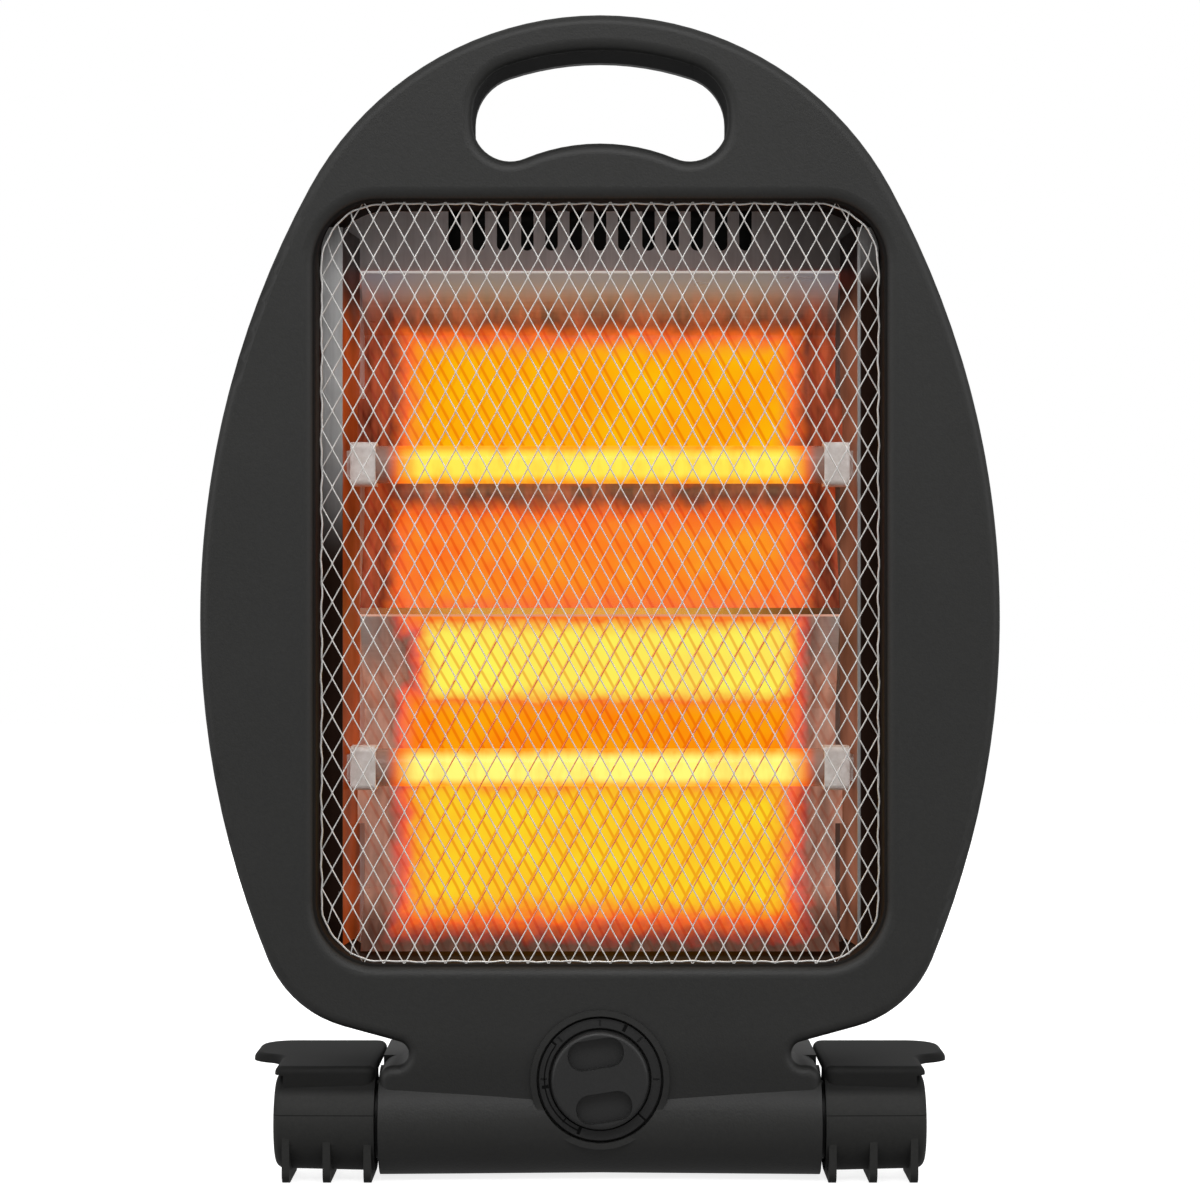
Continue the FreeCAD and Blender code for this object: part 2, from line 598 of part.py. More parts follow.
def front_housing():
    """The front shell: panel, window lip, handle, barrel base, dial cup, bosses and hinge bores."""
    panel = prism(panel_wire(0), 0, SPLIT_DEPTH)
    rim = [edge for edge in edges_at_depth(panel, 0) if edge.BoundBox.ZMax > HINGE_Z + OVERRUN]
    panel = panel.makeFillet(FRONT_ROUND, rim)
    half_space = box(
        -BASE_HALF, BASE_HALF, -BASE_DEPTH, SPLIT_DEPTH, BASE_FLOOR - OVERRUN, BODY_TOP
    )
    bow = BARREL_PROUD - BARREL_PROUD_MID
    round_front = barrel(BARREL_RADIUS, BASE_HALF).common(half_space)
    under = box(-BASE_HALF, BASE_HALF, HINGE_DEPTH + bow, SPLIT_DEPTH, BASE_FLOOR, HINGE_Z)
    cup = rod_y(0, KNOB_Z, -CUP_PROUD, CUP_INNER_DEPTH, CUP_RADIUS + CUP_WALL)
    outer = joined([panel, round_front, under, cup])

    inner_half = BASE_HALF - WALL
    cavity = prism(panel_wire(WALL), WALL, SPLIT_DEPTH + OVERRUN)
    hollow_front = barrel(BARREL_RADIUS - WALL, inner_half)
    hollow_under = box(
        -inner_half,
        inner_half,
        HINGE_DEPTH + bow,
        SPLIT_DEPTH + OVERRUN,
        BASE_FLOOR + WALL,
        HINGE_Z + OVERRUN,
    )
    cavity = joined([cavity, hollow_front, hollow_under])
    cavity = cavity.cut(rod_y(0, KNOB_Z, -BASE_DEPTH, CUP_INNER_DEPTH, CUP_RADIUS + CUP_WALL))
    shell = outer.cut(cavity)

    window_rim = prism(window_wire(WINDOW_RIM), WALL / 2, WINDOW_LIP)
    handle_tube = prism(handle_wire(HANDLE_WALL), WALL / 2, SPLIT_DEPTH)
    bosses = [
        rod_y(x, z, WALL / 2, SPLIT_DEPTH, BODY_BOSS_RADIUS) for x, z in body_screw_places()
    ]
    pan_bosses = [
        rod_y(x, z, WALL / 2, PAN_FRONT_DEPTH, PAN_BOSS_RADIUS) for x, z in pan_screw_places()
    ]
    hinge_x = BASE_HALF - HINGE_BOSS_LENGTH
    hinge_bosses = [
        rod_x(min(side * hinge_x, side * BASE_HALF), max(side * hinge_x, side * BASE_HALF),
              HINGE_DEPTH, HINGE_Z, HINGE_BOSS_RADIUS)
        for side in (-1, 1)
    ]
    shell = joined([shell, window_rim, handle_tube] + bosses + pan_bosses + hinge_bosses)

    shell = shell.cut(prism(window_wire(0), -OVERRUN, WINDOW_LIP + OVERRUN))
    shell = shell.cut(prism(handle_wire(0), -OVERRUN, SPLIT_DEPTH + OVERRUN))
    mouths = [
        edge
        for edge in edges_at_depth(shell, 0)
        if edge.BoundBox.ZMin > WINDOW_LOW - OVERRUN
        and edge.BoundBox.ZMax < WINDOW_HIGH + OVERRUN
        and abs(edge.BoundBox.Center.x) < WINDOW_HALF + OVERRUN
    ]
    shell = shell.makeFillet(WINDOW_ROUND, mouths)
    mouths = [
        edge
        for edge in edges_at_depth(shell, 0)
        if edge.BoundBox.ZMin > HANDLE_LOW - OVERRUN
        and edge.BoundBox.ZMax < HANDLE_TOP + OVERRUN
        and abs(edge.BoundBox.Center.x) < HANDLE_HALF + OVERRUN
    ]
    shell = shell.makeFillet(HANDLE_ROUND, mouths)

    pilot = BODY_SCREW_RADIUS + PILOT_GAP
    pilot_start = RIM_DEPTH - BODY_SCREW_SINK - BODY_SCREW_LENGTH - OVERRUN
    cuts = [
        rod_y(x, z, pilot_start, SPLIT_DEPTH + OVERRUN, pilot) for x, z in body_screw_places()
    ]
    pan_pilot = PAN_SCREW_RADIUS + PILOT_GAP
    pan_pilot_start = PAN_FRONT_DEPTH + PAN_SHEET - PAN_SCREW_LENGTH
    cuts += [
        rod_y(x, z, pan_pilot_start, PAN_FRONT_DEPTH + OVERRUN, pan_pilot)
        for x, z in pan_screw_places()
    ]
    bore = HUB_RADIUS + RUN_GAP
    cuts.append(rod_x(-BASE_HALF - OVERRUN, -hinge_x + OVERRUN, HINGE_DEPTH, HINGE_Z, bore))
    cuts.append(rod_x(hinge_x - OVERRUN, BASE_HALF + OVERRUN, HINGE_DEPTH, HINGE_Z, bore))
    cuts.append(rod_y(0, KNOB_Z, -BASE_DEPTH, CUP_FLOOR_DEPTH, CUP_RADIUS))
    cuts.append(rod_y(0, KNOB_Z, 0, CUP_INNER_DEPTH + OVERRUN, SHAFT_RADIUS + LOOSE_GAP))
    cuts += [
        rod_y(x, KNOB_Z, 0, CUP_INNER_DEPTH + OVERRUN, SWITCH_SCREW_RADIUS + PILOT_GAP)
        for x in (-SWITCH_SCREW_X, SWITCH_SCREW_X)
    ]
    return shell.cut(cuts)


def bulge(inset, d0, d1):
    """The deep middle of the rear cover, narrowing a little towards the back."""
    sections = []
    for depth, taper in ((d0, 0), (d1, BULGE_TAPER)):
        draw = inset + taper
        wire = round_rect(
            BULGE_HALF - draw, BULGE_LOW + draw, BULGE_HIGH - draw, BULGE_CORNER - draw
        )
        wire.translate(Vector(0, depth, 0))
        sections.append(wire)
    solid = Part.makeLoft(sections, True, True)
    return solid.makeFillet(BULGE_ROUND - inset, edges_at_depth(solid, d1))


def base_rear(inset, floor):
    """The base behind the split, with its top rear edge rounded."""
    top = SHOULDER_Z - inset
    back = BASE_DEPTH - inset
    radius = BASE_REAR_ROUND - inset
    turn = math.radians(45)
    half = BASE_HALF - inset
    corner_d = back - radius
    corner_z = top - radius
    crown = at(-half, corner_d + radius * math.cos(turn), corner_z + radius * math.sin(turn))
    low_front = at(-half, SPLIT_DEPTH, floor)
    low_back = at(-half, back, floor)
    edges = [
        Part.LineSegment(low_front, low_back).toShape(),
        Part.LineSegment(low_back, at(-half, back, corner_z)).toShape(),
        Part.Arc(at(-half, back, corner_z), crown, at(-half, corner_d, top)).toShape(),
        Part.LineSegment(at(-half, corner_d, top), at(-half, SPLIT_DEPTH, top)).toShape(),
        Part.LineSegment(at(-half, SPLIT_DEPTH, top), low_front).toShape(),
    ]
    return Part.Face(Part.Wire(edges)).extrude(Vector(half + half, 0, 0))


def rear_cover():
    """The rear shell: shallow rim, vented bulge, neck and base, open underneath for the base plate."""
    rim = prism(panel_wire(0), SPLIT_DEPTH, RIM_DEPTH)
    back_edges = [
        edge for edge in edges_at_depth(rim, RIM_DEPTH) if edge.BoundBox.ZMin > SHOULDER_Z
    ]
    rim = rim.makeFillet(REAR_ROUND, back_edges)
    rim_inner = RIM_DEPTH - WALL
    neck_back = BULGE_DEPTH - NECK_REAR_INSET
    neck_top = BULGE_LOW + NECK_OVERLAP
    neck = box(-NECK_REAR_HALF, NECK_REAR_HALF, rim_inner, neck_back, BASE_TOP_INNER, neck_top)
    outer = joined([rim, bulge(0, rim_inner, BULGE_DEPTH), neck, base_rear(0, BASE_FLOOR)])

    neck_half = NECK_REAR_HALF - WALL
    cavity = [
        prism(panel_wire(WALL), SPLIT_DEPTH - OVERRUN, rim_inner),
        bulge(WALL, rim_inner - OVERRUN, BULGE_DEPTH - WALL),
        box(-neck_half, neck_half, rim_inner - OVERRUN, neck_back - WALL, HINGE_Z, neck_top),
        base_rear(WALL, BASE_FLOOR - OVERRUN),
        box(-BASE_HALF + WALL, BASE_HALF - WALL, SPLIT_DEPTH - OVERRUN, RIM_DEPTH,
            BASE_FLOOR - OVERRUN, HINGE_Z + OVERRUN),
    ]
    shell = outer.cut(joined(cavity))

    handle_tube = prism(handle_wire(HANDLE_WALL), SPLIT_DEPTH, RIM_DEPTH - WALL / 2)
    bosses = [
        rod_y(x, z, SPLIT_DEPTH, RIM_DEPTH - WALL / 2, BODY_BOSS_RADIUS)
        for x, z in body_screw_places()
    ]
    boss_top = BASE_TOP_INNER + WALL / 2
    stands = [
        rod_z(x, depth, FLOOR_TOP, boss_top, BASE_BOSS_RADIUS) for x, depth in base_screw_places()
    ]
    inside = base_rear(WALL / 2, FLOOR_TOP)
    stands = [stand.common(inside) for stand in stands]
    shell = joined([shell, handle_tube] + bosses + stands)

    shell = shell.cut(prism(handle_wire(0), SPLIT_DEPTH - OVERRUN, RIM_DEPTH + OVERRUN))
    mouths = [
        edge
        for edge in edges_at_depth(shell, RIM_DEPTH)
        if edge.BoundBox.ZMin > HANDLE_LOW - OVERRUN
        and edge.BoundBox.ZMax < HANDLE_TOP + OVERRUN
        and abs(edge.BoundBox.Center.x) < HANDLE_HALF + OVERRUN
    ]
    shell = shell.makeFillet(HANDLE_ROUND, mouths)

    seat = RIM_DEPTH - BODY_SCREW_SINK
    cuts = []
    for x, z in body_screw_places():
        cuts.append(rod_y(x, z, SPLIT_DEPTH - OVERRUN, RIM_DEPTH, BODY_SCREW_RADIUS + PILOT_GAP))
        cuts.append(rod_y(x, z, seat, RIM_DEPTH + OVERRUN, BODY_SCREW_HEAD_RADIUS + LOOSE_GAP))
    pilot_top = BASE_FLOOR + BASE_SCREW_HEAD + BASE_SCREW_LENGTH + OVERRUN
    cuts += [
        rod_z(x, depth, BASE_FLOOR, pilot_top, BASE_SCREW_RADIUS + PILOT_GAP)
        for x, depth in base_screw_places()
    ]
    back = BULGE_DEPTH + OVERRUN
    vent_top = VENT_BOTTOM + VENT_LENGTH
    intake_top = INTAKE_BOTTOM + INTAKE_LENGTH
    vent_front = PAN_DEPTH
    cuts += slot_row(VENT_COUNT, VENT_PITCH, VENT_WIDTH, VENT_BOTTOM, vent_top, vent_front, back)
    cuts += slot_row(
        INTAKE_COUNT, VENT_PITCH, VENT_WIDTH, INTAKE_BOTTOM, intake_top, vent_front, back
    )
    cuts.append(
        rod_y(GLAND_X, GLAND_Z, BASE_DEPTH - WALL - OVERRUN, BASE_DEPTH + OVERRUN, GLAND_RADIUS)
    )
    return shell.cut(cuts)


def base_plate():
    """The flat floor of the base, with holes for its screws and the tip-over plunger."""
    gap = LOOSE_GAP
    half = BASE_HALF - WALL - gap
    plate = box(-half, half, SPLIT_DEPTH + gap, BASE_DEPTH - WALL - gap, BASE_FLOOR, FLOOR_TOP)
    cuts = [rod_z(TIP_X, TIP_DEPTH, 0, SHOULDER_Z, PLUNGER_RADIUS + PLUNGER_HOLE_GAP)]
    for x, depth in base_screw_places():
        cuts.append(rod_z(x, depth, 0, SHOULDER_Z, BASE_SCREW_RADIUS + PILOT_GAP))
        sink_top = BASE_FLOOR + BASE_SCREW_HEAD
        cuts.append(rod_z(x, depth, 0, sink_top, BASE_SCREW_HEAD_RADIUS + LOOSE_GAP))
    return plate.cut(cuts)


def clipped(points, x0, x1, z0, z1):
    """A convex front-view polygon trimmed to a rectangle, one side after another."""
    sides = ((0, x0, 1), (0, x1, -1), (1, z0, 1), (1, z1, -1))
    for axis, limit, sign in sides:
        kept = []
        for i, here in enumerate(points):
            before = points[i - 1]
            here_in = sign * (here[axis] - limit)
            before_in = sign * (before[axis] - limit)
            if here_in * before_in < 0:
                share = before_in / (before_in - here_in)
                kept.append(tuple(b + share * (h - b) for b, h in zip(before, here)))
            if here_in >= 0:
                kept.append(here)
        points = kept
    return points


def inside_corner(point, half, low, high, corner):
    """Whether a point keeps clear of the rounded corners of a rectangle."""
    over_x = abs(point[0]) - (half - corner)
    over_z = max(low + corner - point[1], point[1] - (high - corner))
    return over_x <= 0 or over_z <= 0 or math.hypot(over_x, over_z) <= corner


def guard_mesh():
    """The flat guard: a sheet with rows of diamond gaps inside a plain border."""
    draw = GUARD_BORDER
    half = WINDOW_HALF - draw
    low = WINDOW_LOW + draw
    high = WINDOW_HIGH - draw
    corner = WINDOW_CORNER - draw
    reach_x = (GUARD_PITCH_X - GUARD_STRAND * GUARD_PITCH_X / GUARD_PITCH_Z - GUARD_STRAND) / 2
    reach_z = reach_x * GUARD_PITCH_Z / GUARD_PITCH_X
    columns = math.ceil(half / GUARD_PITCH_X) * 2
    rows = math.ceil((high - low) / GUARD_PITCH_Z) * 2
    holes = []
    for column in range(-columns, columns + 1):
        for row in range(rows + 1):
            if (column + row) % 2:
                continue
            x = column * GUARD_PITCH_X / 2
            z = low + row * GUARD_PITCH_Z / 2
            diamond = [(x + reach_x, z), (x, z + reach_z), (x - reach_x, z), (x, z - reach_z)]
            diamond = clipped(diamond, -half, half, low, high)
            if len(diamond) < 3:
                continue
            spans = [max(p[i] for p in diamond) - min(p[i] for p in diamond) for i in (0, 1)]
            if min(spans) < GUARD_SLIVER:
                continue
            if not all(inside_corner(p, half, low, high, corner) for p in diamond):
                continue
            ring = [at(px, 0, pz) for px, pz in diamond]
            holes.append(Part.makePolygon(ring + ring[:1]))
    print("guard gaps", len(holes))
    face = Part.Face([window_wire(GUARD_OVERLAP)] + holes)
    face.translate(Vector(0, GUARD_DEPTH, 0))
    return face.extrude(Vector(0, GUARD_THICKNESS, 0))


def chassis_pan():
    """The deep sheet-metal pan behind the guard, with ears for its screws and slots in its back."""
    sheet = PAN_SHEET
    outer = prism(round_rect(PAN_HALF, PAN_LOW, PAN_HIGH, PAN_CORNER), PAN_FRONT_DEPTH, PAN_DEPTH)
    hollow = prism(
        round_rect(PAN_HALF - sheet, PAN_LOW + sheet, PAN_HIGH - sheet, PAN_CORNER - sheet),
        PAN_FRONT_DEPTH - OVERRUN,
        PAN_DEPTH - sheet,
    )
    reach = PAN_FLANGE
    flange = prism(
        round_rect(PAN_HALF + reach, PAN_LOW - reach, PAN_HIGH + reach, PAN_CORNER + reach),
        PAN_FRONT_DEPTH,
        PAN_FRONT_DEPTH + sheet,
    )
    ears = [
        box(min(0, side * (PAN_HALF + PAN_EAR_REACH)), max(0, side * (PAN_HALF + PAN_EAR_REACH)),
            PAN_FRONT_DEPTH, PAN_FRONT_DEPTH + sheet, z - PAN_EAR_HALF, z + PAN_EAR_HALF)
        for side in (-1, 1)
        for z in (PAN_SCREW_UPPER_Z, PAN_SCREW_LOWER_Z)
    ]
    pan = joined([outer, flange] + ears).cut(hollow)
    cuts = slot_row(
        VENT_COUNT,
        VENT_PITCH,
        VENT_WIDTH,
        PAN_SLOT_BOTTOM,
        PAN_SLOT_TOP,
        PAN_DEPTH - sheet - OVERRUN,
        PAN_DEPTH + OVERRUN,
    )
    hole = PAN_SCREW_RADIUS + PILOT_GAP
    cuts += [
        rod_y(x, z, 0, PAN_DEPTH - sheet - OVERRUN, hole) for x, z in pan_screw_places()
    ]
    for side in (-1, 1):
        for z in (TUBE_UPPER_Z, TUBE_LOWER_Z):
            cuts.append(
                rod_y(side * CRIMP_X, z, PAN_DEPTH - sheet - OVERRUN, PAN_DEPTH + OVERRUN,
                      LEAD_RADIUS + PAN_WIRE_HOLE_GAP)
            )
    for x, z in rivet_places():
        cuts.append(rod_y(x, z, PAN_DEPTH - sheet - OVERRUN, PAN_DEPTH + OVERRUN, RIVET_RADIUS))
    return pan.cut(cuts)


def rivet_places():
    """Where the side plates are riveted to the back of the pan."""
    x = PLATE_BACK_X + PLATE_FOOT / 2 + PLATE_SHEET
    return [(side * x, z) for side in (-1, 1) for z in (RIVET_UPPER_Z, RIVET_LOWER_Z)]


def pan_inside():
    """The room inside the chassis pan, a small gap clear of its walls."""
    wall = PAN_SHEET + LOOSE_GAP
    ring = round_rect(PAN_HALF - wall, PAN_LOW + wall, PAN_HIGH - wall, PAN_CORNER - wall)
    return prism(ring, PAN_FRONT_DEPTH, PAN_DEPTH - PAN_SHEET)


def side_plate(side):
    """A folded plate that carries the tube ends: front flange, leaning web and rear foot."""
    sheet = PLATE_SHEET
    back = PAN_DEPTH - PAN_SHEET
    front = PLATE_FRONT_DEPTH
    outline = [
        (PLATE_FRONT_X, front),
        (PLATE_FRONT_X + PLATE_FLANGE, front),
        (PLATE_FRONT_X + PLATE_FLANGE, front + sheet),
        (PLATE_FRONT_X + sheet, front + sheet),
        (PLATE_BACK_X + sheet, back - sheet),
        (PLATE_BACK_X + sheet + PLATE_FOOT, back - sheet),
        (PLATE_BACK_X + sheet + PLATE_FOOT, back),
        (PLATE_BACK_X, back),
    ]
    ring = [at(side * x, depth, PLATE_LOW) for x, depth in outline]
    face = Part.Face(Part.makePolygon(ring + ring[:1]))
    plate = face.extrude(Vector(0, 0, PLATE_HIGH - PLATE_LOW)).common(pan_inside())
    hole = CAP_NECK_HALF + LOOSE_GAP
    cuts = []
    for z in (TUBE_UPPER_Z, TUBE_LOWER_Z):
        x0, x1 = sorted((side * CAP_INNER_X, side * PAN_HALF))
        cuts.append(box(x0, x1, TUBE_DEPTH - hole, TUBE_DEPTH + hole, z - hole, z + hole))
    for x, z in rivet_places():
        cuts.append(rod_y(x, z, back - sheet - OVERRUN, back + OVERRUN, RIVET_RADIUS))
    return plate.cut(cuts)


def rivets():
    """Round-headed rivets through the side plates' feet and the pan."""
    back = PAN_DEPTH - PAN_SHEET
    front = back - PLATE_SHEET
    solids = []
    for x, z in rivet_places():
        shank = rod_y(x, z, front, PAN_DEPTH, RIVET_RADIUS - RUN_GAP)
        head = rod_y(x, z, front - RIVET_HEAD, front, RIVET_HEAD_RADIUS)
        tail = rod_y(x, z, PAN_DEPTH, PAN_DEPTH + RIVET_HEAD, RIVET_HEAD_RADIUS)
        solids.append(joined([shank, head, tail]))
    return solids


def reflector(sign):
    """A bright trough behind one tube, folded from sheet, with tabs that reach the side plates."""
    fold = [
        (REFLECTOR_LIP, REFLECTOR_LIP_DEPTH),
        (REFLECTOR_FLAT_START, REFLECTOR_BACK_DEPTH),
        (REFLECTOR_FLAT_END, REFLECTOR_BACK_DEPTH),
        (REFLECTOR_OUTER, REFLECTOR_OUTER_DEPTH),
    ]
    front = [at(-REFLECTOR_HALF, d, REFLECTOR_MID_Z + sign * u) for u, d in fold]
    back = [p + Vector(0, REFLECTOR_SHEET, 0) for p in reversed(front)]
    ring = front + back
    face = Part.Face(Part.makePolygon(ring + ring[:1]))
    trough = face.extrude(Vector(REFLECTOR_HALF + REFLECTOR_HALF, 0, 0))
    middle = REFLECTOR_MID_Z + sign * (REFLECTOR_FLAT_START + REFLECTOR_FLAT_END) / 2
    tab_back = REFLECTOR_BACK_DEPTH + REFLECTOR_SHEET
    reach = PLATE_FRONT_X + PLATE_LEAN_SHARE * (tab_back - PLATE_FRONT_DEPTH) - LOOSE_GAP
    tab = box(
        -reach,
        reach,
        REFLECTOR_BACK_DEPTH,
        tab_back,
        middle - REFLECTOR_TAB_HALF,
        middle + REFLECTOR_TAB_HALF,
    )
    return joined([trough, tab])


def quartz_tube(z):
    """A clear tube seated in its two end caps."""
    tube = rod_x(-TUBE_HALF, TUBE_HALF, TUBE_DEPTH, z, TUBE_RADIUS)
    bore = rod_x(-TUBE_HALF - OVERRUN, TUBE_HALF + OVERRUN, TUBE_DEPTH, z, TUBE_BORE_RADIUS)
    return tube.cut(bore)


def wound(radius, wire_radius, pitch, turns):
    """A helix of round wire standing on the origin, as a pipe on half-turn arcs."""
    edges = []
    rise = pitch / 4
    for half in range(2 * turns):
        points = []
        for step in range(3):
            turn = math.pi * (half + step / 2)
            points.append(
                Vector(radius * math.cos(turn), radius * math.sin(turn), rise * (2 * half + step))
            )
        edges.append(Part.Arc(*points).toShape())
    path = Part.Wire(edges)
    tangent = edges[0].tangentAt(edges[0].FirstParameter)
    ring = Part.Circle(edges[0].valueAt(edges[0].FirstParameter), tangent, wire_radius)
    return path.makePipeShell([Part.Wire(ring.toShape())], True, False)


def heating_coil(z):
    """The resistance coil that lies along a tube's bore, held at its ends by the terminals."""
    pitch = (COIL_HALF + COIL_HALF) / COIL_TURNS
    coil = wound(COIL_RADIUS, COIL_WIRE_RADIUS, pitch, COIL_TURNS)
    coil.rotate(Vector(0, 0, 0), Vector(0, 1, 0), 90)
    coil.translate(at(-COIL_HALF, TUBE_DEPTH, z))
    print("coil gap between turns", round(pitch - 2 * COIL_WIRE_RADIUS, 3))
    return coil


def end_cap(side, z):
    """A ceramic block on a tube end, with a square neck through the side plate."""
    half = CAP_HALF
    x0, x1 = sorted((side * CAP_INNER_X, side * CAP_OUTER_X))
    block = box(x0, x1, TUBE_DEPTH - half, TUBE_DEPTH + half, z - half, z + half)
    long_edges = [edge for edge in block.Edges if edge.BoundBox.XLength > OVERRUN]
    block = block.makeFillet(CAP_ROUND, long_edges)
    neck = CAP_NECK_HALF
    x0, x1 = sorted((side * CAP_INNER_X, side * (CAP_OUTER_X + CAP_NECK_LENGTH)))
    block = joined(
        [block, box(x0, x1, TUBE_DEPTH - neck, TUBE_DEPTH + neck, z - neck, z + neck)]
    )
    x0, x1 = sorted((side * (CAP_INNER_X - OVERRUN), side * (TUBE_HALF + LOOSE_GAP)))
    seat = rod_x(x0, x1, TUBE_DEPTH, z, TUBE_RADIUS + RUN_GAP)
    x0, x1 = sorted((side * CAP_INNER_X, side * PAN_HALF))
    bore = rod_x(x0, x1, TUBE_DEPTH, z, TERMINAL_RADIUS + RUN_GAP)
    return block.cut([seat, bore])


def cap_clips():
    """Spring plates pushed over the caps' necks outside the side plates."""
    solids = []
    hole = CAP_NECK_HALF + RUN_GAP
    for side in (-1, 1):
        inner = CLIP_SEAT_X + LOOSE_GAP
        x0, x1 = sorted((side * inner, side * (inner + CLIP_SHEET)))
        for z in (TUBE_UPPER_Z, TUBE_LOWER_Z):
            plate = box(
                x0, x1, TUBE_DEPTH - CLIP_HALF, TUBE_DEPTH + CLIP_HALF, z - CLIP_HALF, z + CLIP_HALF
            )
            gap = box(x0 - OVERRUN, x1 + OVERRUN, TUBE_DEPTH - hole, TUBE_DEPTH + hole,
                      z - hole, z + hole)
            solids.append(plate.cut(gap))
    return solids


def tube_terminals():
    """Pins through the end caps, each with a crimp barrel for its lead wire."""
    solids = []
    for side in (-1, 1):
        x0, x1 = sorted((side * (COIL_HALF + LOOSE_GAP), side * TERMINAL_END_X))
        for z in (TUBE_UPPER_Z, TUBE_LOWER_Z):
            pin = rod_x(x0, x1, TUBE_DEPTH, z, TERMINAL_RADIUS)
            start = TUBE_DEPTH - CRIMP_RADIUS
            crimp = rod_y(side * CRIMP_X, z, start, TUBE_DEPTH + CRIMP_LENGTH, CRIMP_RADIUS)
            solids.append(joined([pin, crimp]))
    return solids


def bent_tube(points, radius, bend):
    """A round wire along straight runs joined by tangent arcs."""
    edges = []
    start = points[0]
    for before, corner, after in zip(points, points[1:], points[2:]):
        into = (corner - before).normalize()
        away = (after - corner).normalize()
        turn = into.getAngle(away)
        cut = bend * math.tan(turn / 2)
        enter = corner - into * cut
        leave = corner + away * cut
        inward = (away - into).normalize()
        middle = corner + inward * (bend / math.cos(turn / 2) - bend)
        edges.append(Part.LineSegment(start, enter).toShape())
        edges.append(Part.Arc(enter, middle, leave).toShape())
        start = leave
    edges.append(Part.LineSegment(start, points[-1]).toShape())
    first = (points[1] - points[0]).normalize()
    ring = Part.Wire(Part.Circle(points[0], first, radius).toShape())
    return Part.Wire(edges).makePipeShell([ring], True, False)


def lead_wire(side, tube_z, run_depth, tab_x):
    """An insulated lead from a tube's crimp, out through the pan's back, down to the switch."""
    crimp_end = TUBE_DEPTH + CRIMP_LENGTH
    tab_end = SWITCH_BACK_DEPTH + SWITCH_TAB_LENGTH
    points = [
        at(side * CRIMP_X, crimp_end, tube_z),
        at(side * CRIMP_X, run_depth, tube_z),
        at(side * CRIMP_X, run_depth, LEAD_TURN_Z),
        at(side * tab_x, run_depth, LEAD_TURN_Z),
        at(side * tab_x, run_depth, LEAD_DROP_Z),
        at(side * tab_x, tab_end, LEAD_DROP_Z),
    ]
    return bent_tube(points, LEAD_RADIUS, LEAD_BEND)


def rotary_switch():
    """The switch block behind the dial cup, with four blade tabs at its back."""
    body = box(-SWITCH_HALF, SWITCH_HALF, SWITCH_FRONT_DEPTH, SWITCH_BACK_DEPTH,
               SWITCH_LOW, SWITCH_HIGH)
    long_edges = [edge for edge in body.Edges if edge.BoundBox.YLength > OVERRUN]
    body = body.makeFillet(SWITCH_ROUND, long_edges)
    tabs = [
        box(x - SWITCH_TAB_HALF, x + SWITCH_TAB_HALF,
            SWITCH_BACK_DEPTH - OVERRUN, SWITCH_BACK_DEPTH + SWITCH_TAB_LENGTH,
            LEAD_DROP_Z - SWITCH_TAB_SHEET / 2, LEAD_DROP_Z + SWITCH_TAB_SHEET / 2)
        for x in (-SWITCH_TAB_OUTER_X, -SWITCH_TAB_INNER_X, SWITCH_TAB_INNER_X, SWITCH_TAB_OUTER_X)
    ]
    cuts = [
        rod_y(0, KNOB_Z, SWITCH_FRONT_DEPTH - OVERRUN,
              SWITCH_FRONT_DEPTH + SHAFT_ENGAGE + LOOSE_GAP, SHAFT_RADIUS + RUN_GAP)
    ]
    depth = CUP_FLOOR_DEPTH + SWITCH_SCREW_LENGTH + OVERRUN
    cuts += [
        rod_y(x, KNOB_Z, SWITCH_FRONT_DEPTH - OVERRUN, depth, SWITCH_SCREW_RADIUS + PILOT_GAP)
        for x in (-SWITCH_SCREW_X, SWITCH_SCREW_X)
    ]
    return joined([body] + tabs).cut(cuts)


def d_shaft(radius, flat, d0, d1):
    """A round shaft with one flat side above its axis."""
    shaft = rod_y(0, KNOB_Z, d0, d1, radius)
    above = box(-radius, radius, d0, d1, KNOB_Z + flat, KNOB_Z + radius + OVERRUN)
    return shaft.cut(above)


def switch_shaft():
    """The switch's shaft: round in the switch, with a flat inside the knob."""
    round_part = rod_y(0, KNOB_Z, KNOB_BACK_DEPTH, SWITCH_FRONT_DEPTH + SHAFT_ENGAGE, SHAFT_RADIUS)
    flat_part = d_shaft(SHAFT_RADIUS, SHAFT_FLAT, SHAFT_FRONT_DEPTH, KNOB_BACK_DEPTH)
    return joined([round_part, flat_part])


def switch_screws():
    """Two low-headed screws that hold the switch to the cup's floor, under the knob."""
    solids = []
    for x in (-SWITCH_SCREW_X, SWITCH_SCREW_X):
        end = CUP_FLOOR_DEPTH + SWITCH_SCREW_LENGTH
        shank = rod_y(x, KNOB_Z, CUP_FLOOR_DEPTH, end, SWITCH_SCREW_RADIUS)
        head = rod_y(x, KNOB_Z, CUP_FLOOR_DEPTH - SWITCH_SCREW_HEAD, CUP_FLOOR_DEPTH,
                     SWITCH_SCREW_HEAD_RADIUS)
        solids.append(joined([shank, head]))
    return solids


